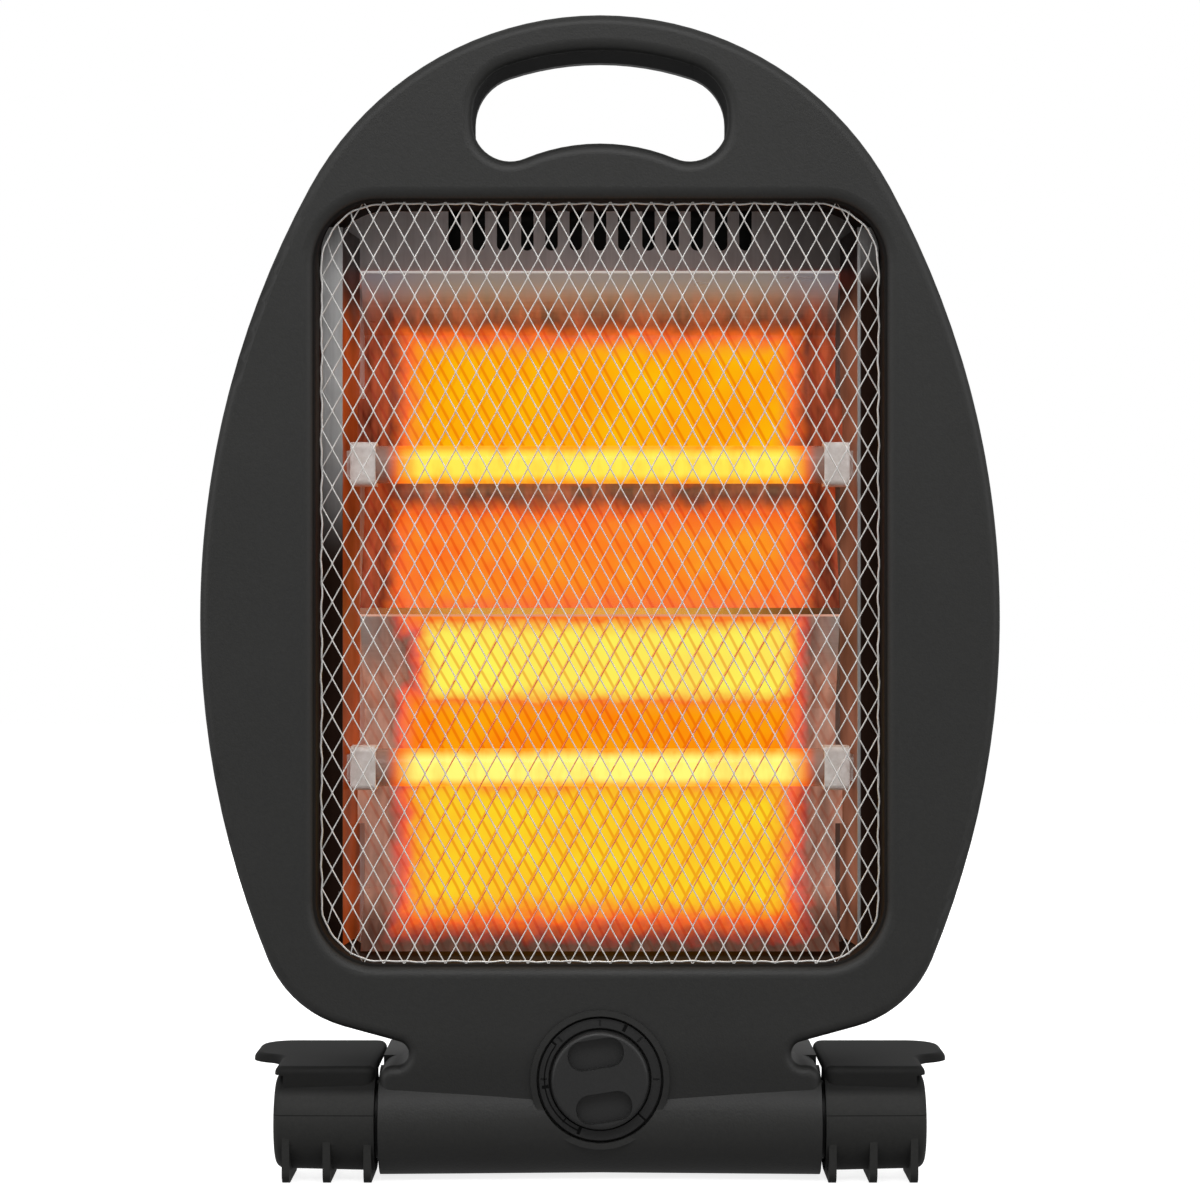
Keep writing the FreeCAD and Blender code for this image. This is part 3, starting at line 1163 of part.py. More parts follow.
def dial_ring():
    """The fixed ring round the knob, with engraved ticks for the switch's places."""
    outer = CUP_RADIUS - RING_RADIUS_GAP
    front = CUP_FLOOR_DEPTH - RING_HEIGHT
    ring = rod_y(0, KNOB_Z, front, CUP_FLOOR_DEPTH, outer)
    ring = ring.cut(rod_y(0, KNOB_Z, front - OVERRUN, CUP_FLOOR_DEPTH + OVERRUN, RING_INNER_RADIUS))
    cuts = []
    middle = (outer + RING_INNER_RADIUS) / 2
    for i in range(TICK_COUNT):
        tick = box(
            -TICK_WIDTH / 2,
            TICK_WIDTH / 2,
            front - OVERRUN,
            front + TICK_DEPTH,
            KNOB_Z + middle - TICK_LENGTH / 2,
            KNOB_Z + middle + TICK_LENGTH / 2,
        )
        angle = TICK_SPAN * (i / (TICK_COUNT - 1) - 1 / 2)
        tick.rotate(at(0, 0, KNOB_Z), Vector(0, 1, 0), angle)
        cuts.append(tick)
    return ring.cut(cuts)


def pocket_wire(sign):
    """A finger pocket of the knob: straight along the grip, rounded at its corners."""
    x0 = POCKET_HALF - POCKET_CORNER
    z0 = KNOB_Z + sign * GRIP_HALF
    z1 = KNOB_Z + sign * POCKET_REACH
    near_z = z0 + sign * POCKET_CORNER
    far_z = z1 - sign * POCKET_CORNER
    corner = POCKET_CORNER
    edges = [
        line(-x0, z0, x0, z0),
        arc(x0, near_z, corner, -90 * sign, 0),
        line(POCKET_HALF, near_z, POCKET_HALF, far_z),
        arc(x0, far_z, corner, 0, 90 * sign),
        line(x0, z1, -x0, z1),
        arc(-x0, far_z, corner, 90 * sign, 180 * sign),
        line(-POCKET_HALF, far_z, -POCKET_HALF, near_z),
        arc(-x0, near_z, corner, 180 * sign, 270 * sign),
    ]
    return chained(edges)


def control_knob():
    """The knob: a disc with two finger pockets either side of a straight grip."""
    knob = rod_y(0, KNOB_Z, -KNOB_PROUD, KNOB_BACK_DEPTH, KNOB_RADIUS)
    knob = knob.makeFillet(KNOB_ROUND, edges_at_depth(knob, -KNOB_PROUD))
    cuts = []
    for sign in (-1, 1):
        pocket = prism(pocket_wire(sign), -KNOB_PROUD - OVERRUN, POCKET_DEPTH - KNOB_PROUD)
        pocket.rotate(at(0, 0, KNOB_Z), Vector(0, 1, 0), -KNOB_TILT)
        cuts.append(pocket)
    cuts.append(
        d_shaft(SHAFT_RADIUS + RUN_GAP, SHAFT_FLAT + RUN_GAP,
                SHAFT_FRONT_DEPTH - LOOSE_GAP, KNOB_BACK_DEPTH + OVERRUN)
    )
    return knob.cut(cuts)


def tip_switch_housing():
    """The guide of the tip-over switch, standing on the base plate over the plunger's hole."""
    half = TIP_HOUSING_HALF
    top = FLOOR_TOP + TIP_HOUSING_HEIGHT
    body = box(TIP_X - half, TIP_X + half, TIP_DEPTH - half, TIP_DEPTH + half, FLOOR_TOP, top)
    upright = [edge for edge in body.Edges if edge.BoundBox.ZLength > OVERRUN]
    body = body.makeFillet(SWITCH_ROUND, upright)
    cuts = [
        rod_z(TIP_X, TIP_DEPTH, FLOOR_TOP - OVERRUN, top - TIP_ROOF, TIP_BORE_RADIUS),
        rod_z(TIP_X, TIP_DEPTH, FLOOR_TOP, top + OVERRUN, PLUNGER_STEM_RADIUS + PLUNGER_HOLE_GAP),
    ]
    return body.cut(cuts)


def tip_switch_plunger():
    """The plunger that the floor holds up, with a collar under its spring and a thin stem."""
    tip = rod_z(TIP_X, TIP_DEPTH, PLUNGER_TIP_Z, PLUNGER_COLLAR_Z, PLUNGER_RADIUS)
    collar_top = PLUNGER_COLLAR_Z + PLUNGER_COLLAR
    collar = rod_z(TIP_X, TIP_DEPTH, PLUNGER_COLLAR_Z, collar_top, PLUNGER_COLLAR_RADIUS)
    stem = rod_z(TIP_X, TIP_DEPTH, collar_top, FLOOR_TOP + TIP_HOUSING_HEIGHT, PLUNGER_STEM_RADIUS)
    return joined([tip, collar, stem])


def tip_switch_spring():
    """The light spring between the plunger's collar and the housing's roof."""
    low = PLUNGER_COLLAR_Z + PLUNGER_COLLAR + SPRING_WIRE_RADIUS + RUN_GAP
    high = FLOOR_TOP + TIP_HOUSING_HEIGHT - TIP_ROOF - SPRING_WIRE_RADIUS - RUN_GAP
    pitch = (high - low) / SPRING_TURNS
    spring = wound(SPRING_RADIUS, SPRING_WIRE_RADIUS, pitch, SPRING_TURNS)
    spring.translate(at(TIP_X, TIP_DEPTH, low))
    return spring


def thermal_cutout():
    """The round cut-out on the back of the pan, with a flange and two blades."""
    flange = rod_y(CUTOUT_X, CUTOUT_Z, PAN_DEPTH, PAN_DEPTH + CUTOUT_FLANGE, CUTOUT_FLANGE_RADIUS)
    can = rod_y(CUTOUT_X, CUTOUT_Z, PAN_DEPTH, PAN_DEPTH + CUTOUT_HEIGHT, CUTOUT_RADIUS)
    middle = PAN_DEPTH + CUTOUT_HEIGHT / 2
    reach = CUTOUT_RADIUS + CUTOUT_TAB_LENGTH
    blade = box(
        CUTOUT_X - CUTOUT_TAB_HALF,
        CUTOUT_X + CUTOUT_TAB_HALF,
        middle - CUTOUT_TAB_SHEET / 2,
        middle + CUTOUT_TAB_SHEET / 2,
        CUTOUT_Z - reach,
        CUTOUT_Z + reach,
    )
    return joined([flange, can, blade])


def terminal_block():
    """The mains terminal block on the base plate, with a screw well for each way."""
    block = box(
        BLOCK_X - BLOCK_HALF_X,
        BLOCK_X + BLOCK_HALF_X,
        BLOCK_DEPTH - BLOCK_HALF_DEPTH,
        BLOCK_DEPTH + BLOCK_HALF_DEPTH,
        FLOOR_TOP,
        FLOOR_TOP + BLOCK_HEIGHT,
    )
    upright = [edge for edge in block.Edges if edge.BoundBox.ZLength > OVERRUN]
    block = block.makeFillet(BLOCK_ROUND, upright)
    pitch = (BLOCK_HALF_X + BLOCK_HALF_X) / BLOCK_WAYS
    top = FLOOR_TOP + BLOCK_HEIGHT
    wells = [
        rod_z(BLOCK_X + pitch * (i - (BLOCK_WAYS - 1) / 2), BLOCK_DEPTH,
              top - BLOCK_WELL_DEPTH, top + OVERRUN, BLOCK_WELL_RADIUS)
        for i in range(BLOCK_WAYS)
    ]
    return block.cut(wells)


def cable_gland():
    """The grommet in the base's rear wall, with a flange inside and a clear bore."""
    inside = BASE_DEPTH - WALL
    body = rod_y(GLAND_X, GLAND_Z, inside - GLAND_INNER_LENGTH, BASE_DEPTH, GLAND_RADIUS - RUN_GAP)
    flange = rod_y(GLAND_X, GLAND_Z, inside - GLAND_FLANGE, inside, GLAND_FLANGE_RADIUS)
    bore = rod_y(
        GLAND_X,
        GLAND_Z,
        inside - GLAND_INNER_LENGTH - OVERRUN,
        BASE_DEPTH + OVERRUN,
        GLAND_BORE_RADIUS,
    )
    return joined([body, flange]).cut(bore)


def sole_face():
    """The sole's outline seen from above, for the right foot, at its lower side."""
    z = SOLE_TOP - SOLE_THICKNESS

    def corner(x, depth, radius, start, end):
        points = []
        for degrees in (start, (start + end) / 2, end):
            turn = math.radians(degrees)
            points.append(at(x + radius * math.cos(turn), depth + radius * math.sin(turn), z))
        return points

    ear = SOLE_EAR_RADIUS
    waist = SOLE_WAIST_RADIUS
    ear_x = SOLE_EAR_X - ear
    ear_front = SOLE_EAR_FRONT_DEPTH + ear
    step_x = ear_x - FOOT_OUTER_X
    drop = math.sqrt((ear + waist) ** 2 - (step_x - waist) ** 2)
    swing = math.degrees(math.atan2(-drop, waist - step_x))
    arcs = [
        corner(FOOT_OUTER_X - SOLE_CORNER, SOLE_FRONT_DEPTH + SOLE_CORNER, SOLE_CORNER, -90, 0),
        corner(FOOT_OUTER_X + waist, ear_front - drop, waist, 180, swing + 180),
        corner(ear_x, ear_front, ear, swing, 0),
        corner(ear_x, SOLE_BACK_DEPTH - ear, ear, 0, 90),
        corner(FOOT_INNER_X + SOLE_CORNER, SOLE_BACK_DEPTH - SOLE_CORNER, SOLE_CORNER, 90, 180),
        corner(FOOT_INNER_X + SOLE_CORNER, SOLE_FRONT_DEPTH + SOLE_CORNER, SOLE_CORNER, 180, 270),
    ]
    edges = []
    for here, following in zip(arcs, arcs[1:] + arcs[:1]):
        edges.append(Part.Arc(*here).toShape())
        if (following[0] - here[-1]).Length > RUN_GAP:
            edges.append(Part.LineSegment(here[-1], following[0]).toShape())
    return Part.Face(chained(edges))


def fin(x):
    """A flat-bottomed fin under the barrel, with round lower corners."""
    reach = FOOT_END_RADIUS - FIN_INSET
    plate = box(x - FIN_THICKNESS / 2, x + FIN_THICKNESS / 2,
                HINGE_DEPTH - reach, HINGE_DEPTH + reach, 0, FIN_TOP_Z)
    low = [
        edge
        for edge in plate.Edges
        if edge.BoundBox.ZMax < FIN_TOP_Z / 2 and edge.BoundBox.XLength > FIN_THICKNESS / 2
    ]
    return plate.makeFillet(FIN_ROUND, low)


def right_foot():
    """A foot stowed under the body: barrel cup, hub, fins below and the sole on top."""
    axis = Vector(1, 0, 0)
    start = at(FOOT_INNER_X, HINGE_DEPTH, HINGE_Z)
    length = FOOT_OUTER_X - FOOT_INNER_X
    cone = Part.makeCone(FOOT_RADIUS, FOOT_END_RADIUS, length, start, axis)
    rim = [edge for edge in cone.Edges if edge.BoundBox.XMin > FOOT_OUTER_X - OVERRUN]
    cone = cone.makeFillet(FOOT_END_ROUND, rim)
    sole = sole_face().extrude(Vector(0, 0, SOLE_THICKNESS))
    top = [edge for edge in sole.Edges if edge.BoundBox.ZMin > SOLE_TOP - SOLE_THICKNESS / 2]
    sole = sole.makeFillet(SOLE_ROUND, top)
    block = sole_face().extrude(Vector(0, 0, HINGE_Z + SOLE_THICKNESS - SOLE_TOP))
    web = block.common(
        box(
            FOOT_INNER_X,
            FOOT_OUTER_X - FOOT_END_ROUND,
            SOLE_FRONT_DEPTH,
            HINGE_DEPTH + SOLE_WEB_HALF,
            HINGE_Z,
            SOLE_TOP - SOLE_THICKNESS,
        )
    )
    fins = [fin(FIN_INNER_X + FIN_PITCH * i) for i in range(FIN_COUNT)]
    body = joined([cone, sole, web] + fins)
    hollow = Part.makeCone(
        FOOT_RADIUS - FOOT_WALL, FOOT_END_RADIUS - FOOT_WALL, length - FOOT_WALL, start, axis
    )
    body = body.cut(hollow)
    hub = rod_x(HUB_END_X, FOOT_OUTER_X - FOOT_WALL / 2, HINGE_DEPTH, HINGE_Z, HUB_RADIUS)
    pilot = rod_x(
        HUB_END_X - OVERRUN,
        HUB_END_X + FOOT_SCREW_LENGTH,
        HINGE_DEPTH,
        HINGE_Z,
        FOOT_SCREW_RADIUS + PILOT_GAP,
    )
    return joined([body, hub]).cut(pilot)


def foot_washer():
    """The flat washer that keeps the right foot's hub in its bore."""
    ring = rod_x(HUB_END_X - WASHER_THICKNESS, HUB_END_X, HINGE_DEPTH, HINGE_Z, WASHER_RADIUS)
    bore = rod_x(
        HUB_END_X - WASHER_THICKNESS - OVERRUN,
        HUB_END_X + OVERRUN,
        HINGE_DEPTH,
        HINGE_Z,
        FOOT_SCREW_RADIUS + PILOT_GAP,
    )
    return ring.cut(bore)


def foot_screw():
    """The screw along the right foot's hub."""
    seat = HUB_END_X - WASHER_THICKNESS
    shank = rod_x(seat, HUB_END_X + FOOT_SCREW_LENGTH - OVERRUN, HINGE_DEPTH, HINGE_Z,
                  FOOT_SCREW_RADIUS)
    head = rod_x(seat - FOOT_SCREW_HEAD, seat, HINGE_DEPTH, HINGE_Z, FOOT_SCREW_HEAD_RADIUS)
    return joined([shank, head])


def spring_washer():
    """The friction washer in the gap between the base and the right foot."""
    end = FOOT_INNER_X
    ring = rod_x(end - WAVE_THICKNESS, end, HINGE_DEPTH, HINGE_Z, WAVE_OUTER_RADIUS)
    bore = rod_x(end - WAVE_THICKNESS - OVERRUN, end + OVERRUN, HINGE_DEPTH, HINGE_Z,
                 HUB_RADIUS + LOOSE_GAP)
    return ring.cut(bore)


def mirrored(solid):
    """The left-hand twin of a right-hand piece."""
    return solid.mirror(Vector(0, 0, 0), Vector(1, 0, 0))


def body_screws():
    """Countersunk-look pan screws that close the two shells from behind."""
    seat = RIM_DEPTH - BODY_SCREW_SINK
    solids = []
    for x, z in body_screw_places():
        shank = rod_y(x, z, seat - BODY_SCREW_LENGTH, seat, BODY_SCREW_RADIUS)
        head = rod_y(x, z, seat, seat + BODY_SCREW_HEAD, BODY_SCREW_HEAD_RADIUS)
        solids.append(joined([shank, head]))
    return solids


def chassis_screws():
    """Screws through the pan's ears into the front housing."""
    seat = PAN_FRONT_DEPTH + PAN_SHEET
    solids = []
    for x, z in pan_screw_places():
        shank = rod_y(x, z, seat - PAN_SCREW_LENGTH + PILOT_GAP, seat, PAN_SCREW_RADIUS)
        head = rod_y(x, z, seat, seat + PAN_SCREW_HEAD, PAN_SCREW_HEAD_RADIUS)
        solids.append(joined([shank, head]))
    return solids


def base_screws():
    """Screws up through the base plate, with their heads sunk in it."""
    seat = BASE_FLOOR + BASE_SCREW_HEAD
    solids = []
    for x, depth in base_screw_places():
        head = rod_z(x, depth, BASE_FLOOR, seat, BASE_SCREW_HEAD_RADIUS)
        shank = rod_z(x, depth, seat, seat + BASE_SCREW_LENGTH, BASE_SCREW_RADIUS)
        solids.append(joined([head, shank]))
    return solids


def rubber_pads():
    """Four round pads under the base plate."""
    return [
        rod_z(side * PAD_X, depth, 0, BASE_FLOOR, PAD_RADIUS)
        for side in (-1, 1)
        for depth in (PAD_FRONT_DEPTH, PAD_REAR_DEPTH)
    ]


def pieces():
    """Every node by name, each a solid or a list of like solids."""
    foot = right_foot()
    washer = foot_washer()
    screw = foot_screw()
    wave = spring_washer()
    nodes = {
        "front_housing": front_housing(),
        "rear_cover": rear_cover(),
        "base_plate": base_plate(),
        "guard_mesh": guard_mesh(),
        "chassis_pan": chassis_pan(),
        "side_plate_left": side_plate(-1),
        "side_plate_right": side_plate(1),
        "side_plate_rivets": rivets(),
        "reflector_upper": reflector(1),
        "reflector_lower": reflector(-1),
        "cap_clips": cap_clips(),
        "tube_terminals": tube_terminals(),
        "rotary_switch": rotary_switch(),
        "switch_shaft": switch_shaft(),
        "switch_screws": switch_screws(),
        "dial_ring": dial_ring(),
        "control_knob": control_knob(),
        "tip_switch_housing": tip_switch_housing(),
        "tip_switch_plunger": tip_switch_plunger(),
        "tip_switch_spring": tip_switch_spring(),
        "thermal_cutout": thermal_cutout(),
        "terminal_block": terminal_block(),
        "cable_gland": cable_gland(),
        "right_foot": foot,
        "left_foot": mirrored(foot),
        "right_foot_washer": washer,
        "left_foot_washer": mirrored(washer),
        "right_foot_screw": screw,
        "left_foot_screw": mirrored(screw),
        "right_spring_washer": wave,
        "left_spring_washer": mirrored(wave),
        "body_screws": body_screws(),
        "chassis_screws": chassis_screws(),
        "base_screws": base_screws(),
        "rubber_pads": rubber_pads(),
    }
    rows = (
        ("upper", TUBE_UPPER_Z, LEAD_UPPER_DEPTH, SWITCH_TAB_INNER_X),
        ("lower", TUBE_LOWER_Z, LEAD_LOWER_DEPTH, SWITCH_TAB_OUTER_X),
    )
    for row, z, lead_depth, tab_x in rows:
        nodes["quartz_tube_" + row] = quartz_tube(z)
        nodes["heating_coil_" + row] = heating_coil(z)
        for side, word in ((-1, "left"), (1, "right")):
            nodes["end_cap_%s_%s" % (row, word)] = end_cap(side, z)
            nodes["lead_wire_%s_%s" % (row, word)] = lead_wire(side, z, lead_depth, tab_x)
    return nodes


def main():
    """Builds every piece and writes one file for each node."""
    os.makedirs("parts", exist_ok=True)
    for name, shape in pieces().items():
        if isinstance(shape, list):
            shape = Part.Compound(shape)
        shape.exportStep("parts/%s.step" % name)
        good = shape.isValid()
        print(name, len(shape.Solids), round(shape.Volume / 1000, 2), "valid" if good else "BROKEN")


main()
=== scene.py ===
"""Looks of a portable two-tube quartz heater, laid out as an add-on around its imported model."""

import math

import bmesh
import bpy
import numpy as np
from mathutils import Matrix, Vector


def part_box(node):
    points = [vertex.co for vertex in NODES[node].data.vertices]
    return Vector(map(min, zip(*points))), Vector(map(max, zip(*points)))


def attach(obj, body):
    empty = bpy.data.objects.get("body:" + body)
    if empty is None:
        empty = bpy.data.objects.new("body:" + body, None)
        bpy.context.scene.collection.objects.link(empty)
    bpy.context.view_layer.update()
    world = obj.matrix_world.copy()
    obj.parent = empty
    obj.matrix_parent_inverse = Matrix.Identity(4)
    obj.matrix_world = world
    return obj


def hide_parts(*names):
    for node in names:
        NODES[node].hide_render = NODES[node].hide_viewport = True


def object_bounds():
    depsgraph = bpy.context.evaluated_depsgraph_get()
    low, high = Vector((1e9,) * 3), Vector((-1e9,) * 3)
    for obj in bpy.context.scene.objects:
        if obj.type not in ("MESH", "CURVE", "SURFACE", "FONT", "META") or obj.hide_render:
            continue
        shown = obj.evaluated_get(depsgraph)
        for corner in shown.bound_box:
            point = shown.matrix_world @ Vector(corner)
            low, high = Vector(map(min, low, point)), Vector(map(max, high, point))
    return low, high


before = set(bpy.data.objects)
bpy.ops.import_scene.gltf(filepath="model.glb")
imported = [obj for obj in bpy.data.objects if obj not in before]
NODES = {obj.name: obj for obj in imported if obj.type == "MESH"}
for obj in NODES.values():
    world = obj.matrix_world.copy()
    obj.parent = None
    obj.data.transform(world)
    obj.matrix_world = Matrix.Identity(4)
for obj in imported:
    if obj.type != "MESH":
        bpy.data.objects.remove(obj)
CAD_LOW, CAD_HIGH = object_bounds()

bl_info = {
    "name": "Quartz Heater Looks",
    "version": (1, 0, 0),
    "blender": (4, 5, 0),
    "location": "View3D > Sidebar > Heater",
    "description": "Finishes, guard mesh, glowing tubes and studio stage of a portable quartz heater",
    "category": "Object",
}

TUBE_ROWS = ("upper", "lower")
SIDES = ("left", "right")
BLACK = (0.0, 0.0, 0.0, 1.0)
WHITE = (1.0, 1.0, 1.0, 1.0)
# Near black, for the dial's moulded marks and for painted shade on the moulded body
MARK_AND_SHADE_BLACK = (0.001, 0.001, 0.001, 1.0)
EVEN_CLOUDS = (60.0, 60.0, 60.0)
UPRIGHT_STREAKS = (500.0, 500.0, 30.0)
MERGE_GAP = 0.00001
THIN_EDGE = 0.000005
RIM_POINTS = 420
RIM_SIDES = 8
RIM_FLATNESS = 0.6
CORNER_POINTS = 16
WIRE_SIDES = 6
POINTS_TO_A_TURN = 14

# Handle's hole and outer rim, for the painted shade in the hole: half the hole's width, and how fast the rim
# falls to the sides
HOLE_HALF = 0.046
RIM_ARCH = 4.8

# Heights between which painted shade on the barrel's top edge sets in, and between which it clears again
BARREL_DARKENS = (0.0220, 0.0290)
BARREL_CLEARS = (0.0520, 0.0340)

# Parting line of a foot: its height over the foot's middle and half its width, and the depth of the sole's
# painted shade
LINE_RISE = 0.0037
LINE_HALF = 0.00022
SOLE_DEPTH = 0.0095

# Glow of a tube: its middle in X, and the distances from it between which it reddens and fades out
GLOW_MIDDLE = 0.0005
GLOW_REDDENS = (0.0610, 0.0730)
GLOW_ENDS = (0.0745, 0.0685)

# Bands of the guard before the tubes, where their light is painted on the strands: height of the middle,
# outer and inner half height, and share of the painted glow
GUARD_BANDS = (
    (0.1375, 0.056, 0.046, 1.0),
    (0.2400, 0.050, 0.044, 0.3),
)

# Each mark on the dial: its angle in degrees, half its width, and its inner and outer radius
DIAL_MARKS = (
    (64.0, 0.0006, 0.0176, 0.0202),
    (188.0, 0.0006, 0.0172, 0.0196),
    (248.0, 0.0006, 0.0172, 0.0198),
    (229.0, 0.00025, 0.0172, 0.0190),
    (318.0, 0.00035, 0.0168, 0.0204),
    (142.0, 0.0004, 0.0185, 0.0203),
)

# The dial's arc: its radius, half its width, and the angles of its ends
DIAL_ARC = (0.0185, 0.00025, 142.0, 248.0)

# Painted reflection of the tubes' glow on each reflector: its colour setting, middle in X and Z, half width,
# half height and softness
GLOW_PATCHES = {
    "upper": (
        ("glow_a", 0.0, 0.2625, 0.0695, 0.0252, 0.0068),
        ("glow_b", 0.0, 0.2078, 0.0710, 0.0188, 0.0075),
    ),
    "lower": (
        ("glow_c", 0.0028, 0.1734, 0.0672, 0.0168, 0.0055),
        ("glow_e", 0.0, 0.1480, 0.0705, 0.0160, 0.0055),
        ("glow_b", 0.0, 0.1905, 0.0690, 0.0080, 0.0055),
        ("glow_d", 0.0, 0.1087, 0.0700, 0.0274, 0.0088),
    ),
}


def srgb(red, green, blue):
    """A display colour of three 0 to 255 values as linear light: the standard power curve with its toe."""
    shown = np.array((red, green, blue), float) / 255.0
    linear = np.where(shown <= 0.04045, shown / 12.92, ((shown + 0.055) / 1.055) ** 2.4)
    return tuple(float(value) for value in linear)


def full(colour):
    """A colour with its opaque fourth value."""
    return (colour[0], colour[1], colour[2], 1.0)


def paint(red, green, blue):
    """A display colour as opaque linear light."""
    return full(srgb(red, green, blue))


# Shader helpers

def add_node(tree, kind, **settings):
    """Adds one node to a tree, with its plain settings."""
    made = tree.nodes.new(kind)
    for key, value in settings.items():
        setattr(made, key, value)
    return made


def join(tree, source, target):
    """Joins an output socket to an input socket."""
    tree.links.new(source, target)


def feed(tree, value, target):
    """Sets a number or colour on a socket, or joins another node's output to it."""
    if isinstance(value, bpy.types.NodeSocket):
        tree.links.new(value, target)
    else:
        target.default_value = value


def dress(tree, node, **values):
    """Feeds a node's inputs by name, with spaces as underscores."""
    for key, value in values.items():
        feed(tree, value, node.inputs[key.replace("_", " ")])


def maths(tree, operation, first, second=0.0, third=0.0, clamp=False):
    """One Math node on numbers or sockets. Gives back its output."""
    made = add_node(tree, "ShaderNodeMath", operation=operation, use_clamp=clamp)
    for value, target in zip((first, second, third), made.inputs):
        feed(tree, value, target)
    return made.outputs[0]


def product(tree, first, *others):
    """All values multiplied."""
    for value in others:
        first = maths(tree, "MULTIPLY", first, value)
    return first


def largest(tree, first, *others):
    """The largest of all values."""
    for value in others:
        first = maths(tree, "MAXIMUM", first, value)
    return first


def away(tree, value, middle):
    """How far a value lies from a middle, either way."""
    return maths(tree, "ABSOLUTE", maths(tree, "SUBTRACT", value, middle))


def blended(tree, share, first, second, mode="MIX"):
    """A colour Mix node: first at share 0, second at share 1."""
    made = add_node(tree, "ShaderNodeMix", data_type="RGBA", blend_type=mode)
    feed(tree, share, made.inputs[0])
    feed(tree, first, made.inputs[6])
    feed(tree, second, made.inputs[7])
    return made.outputs[2]


def spread(tree, value, low, high, to_low=0.0, to_high=1.0, smooth=False):
    """A Map Range node, clamped at both ends, straight or smooth."""
    made = add_node(tree, "ShaderNodeMapRange", interpolation_type="SMOOTHSTEP" if smooth else "LINEAR")
    for number, target in zip((value, low, high, to_low, to_high), made.inputs):
        feed(tree, number, target)
    return made.outputs[0]


def noise(tree, place, scale, detail=2.0, roughness=0.5):
    """A Noise Texture on a place vector. Gives back its value from 0 to 1."""
    made = add_node(tree, "ShaderNodeTexNoise")
    dress(tree, made, Vector=place, Scale=scale, Detail=detail, Roughness=roughness)
    return made.outputs["Fac"]


def stretched(tree, place, scale):
    """A place vector scaled along each axis, for streaks and rows."""
    made = add_node(tree, "ShaderNodeMapping")
    dress(tree, made, Vector=place, Scale=scale)
    return made.outputs["Vector"]


def parts(tree, place):
    """The X, Y and Z outputs of a place vector."""
    made = add_node(tree, "ShaderNodeSeparateXYZ")
    join(tree, place, made.inputs[0])
    return made.outputs


def brightened(tree, colour, value):
    """A colour with its brightness multiplied by a value."""
    made = add_node(tree, "ShaderNodeHueSaturation")
    dress(tree, made, Color=colour, Value=value)
    return made.outputs["Color"]


def new_group(name, inputs, outputs):
    """An empty shader node group with named sockets.

    An input is a vector where its default is None, a colour where it is four values, or else a number. An
    output's kind is given.
    """
    tree = bpy.data.node_groups.new(name, "ShaderNodeTree")
    for label, default in inputs.items():
        kind = "Color" if isinstance(default, tuple) else "Vector" if default is None else "Float"
        socket = tree.interface.new_socket(label, in_out="INPUT", socket_type="NodeSocket" + kind)
        if default is not None:
            socket.default_value = default
    for label, kind in outputs.items():
        tree.interface.new_socket(label, in_out="OUTPUT", socket_type="NodeSocket" + kind)
    given = add_node(tree, "NodeGroupInput").outputs
    out = add_node(tree, "NodeGroupOutput")
    return tree, given, out


def moulded_grain(name):
    """Moulded grain: fine noise pebbles for height, slow noise for colour shade and roughness."""
    tree, given, out = new_group(
        name,
        {
            "Place": None, "Pebble Scale": 1600.0, "Colour": (0.03, 0.03, 0.03, 1.0), "Shade": 0.12,
            "Roughness": 0.55,
        },
        {"Colour": "Color", "Roughness": "Float", "Height": "Float"},
    )
    pebbles = add_node(tree, "ShaderNodeTexVoronoi", feature="SMOOTH_F1")
    dress(tree, pebbles, Vector=given["Place"], Scale=given["Pebble Scale"])
    fine = noise(tree, given["Place"], product(tree, given["Pebble Scale"], 0.45), 3.0)
    slow = noise(tree, given["Place"], 26.0, 3.0, 0.6)
    lift = product(tree, maths(tree, "SUBTRACT", slow, 0.5), given["Shade"])
    speck = product(tree, maths(tree, "SUBTRACT", fine, 0.5), 0.35)
    tint = maths(tree, "ADD", lift, speck)
    dress(
        tree, out, Colour=brightened(tree, given["Colour"], maths(tree, "ADD", 1.0, tint)),
        Roughness=maths(tree, "ADD", given["Roughness"], product(tree, lift, 0.8)),
        Height=maths(tree, "ADD", pebbles.outputs["Distance"], fine),
    )
    return tree


def rolled_sheet(name):
    """Rolled sheet: noise drawn out along one axis for streaks, and slow clouds of dullness."""
    tree, given, out = new_group(
        name,
        {"Streaks": None, "Clouds": None, "Colour": (0.5, 0.5, 0.5, 1.0), "Roughness": 0.35},
        {"Colour": "Color", "Roughness": "Float", "Height": "Float"},
    )
    streak = noise(tree, given["Streaks"], 1.0, 4.0, 0.6)
    cloud = noise(tree, given["Clouds"], 1.0, 3.0, 0.55)
    value = maths(
        tree, "ADD", spread(tree, streak, 0.25, 0.75, 0.86, 1.1), spread(tree, cloud, 0.2, 0.8, -0.12, 0.1),
    )
    dulled = spread(tree, cloud, 0.2, 0.8, -0.08, 0.14)
    dress(
        tree, out, Colour=brightened(tree, given["Colour"], value),
        Roughness=maths(tree, "ADD", given["Roughness"], dulled), Height=streak,
    )
    return tree


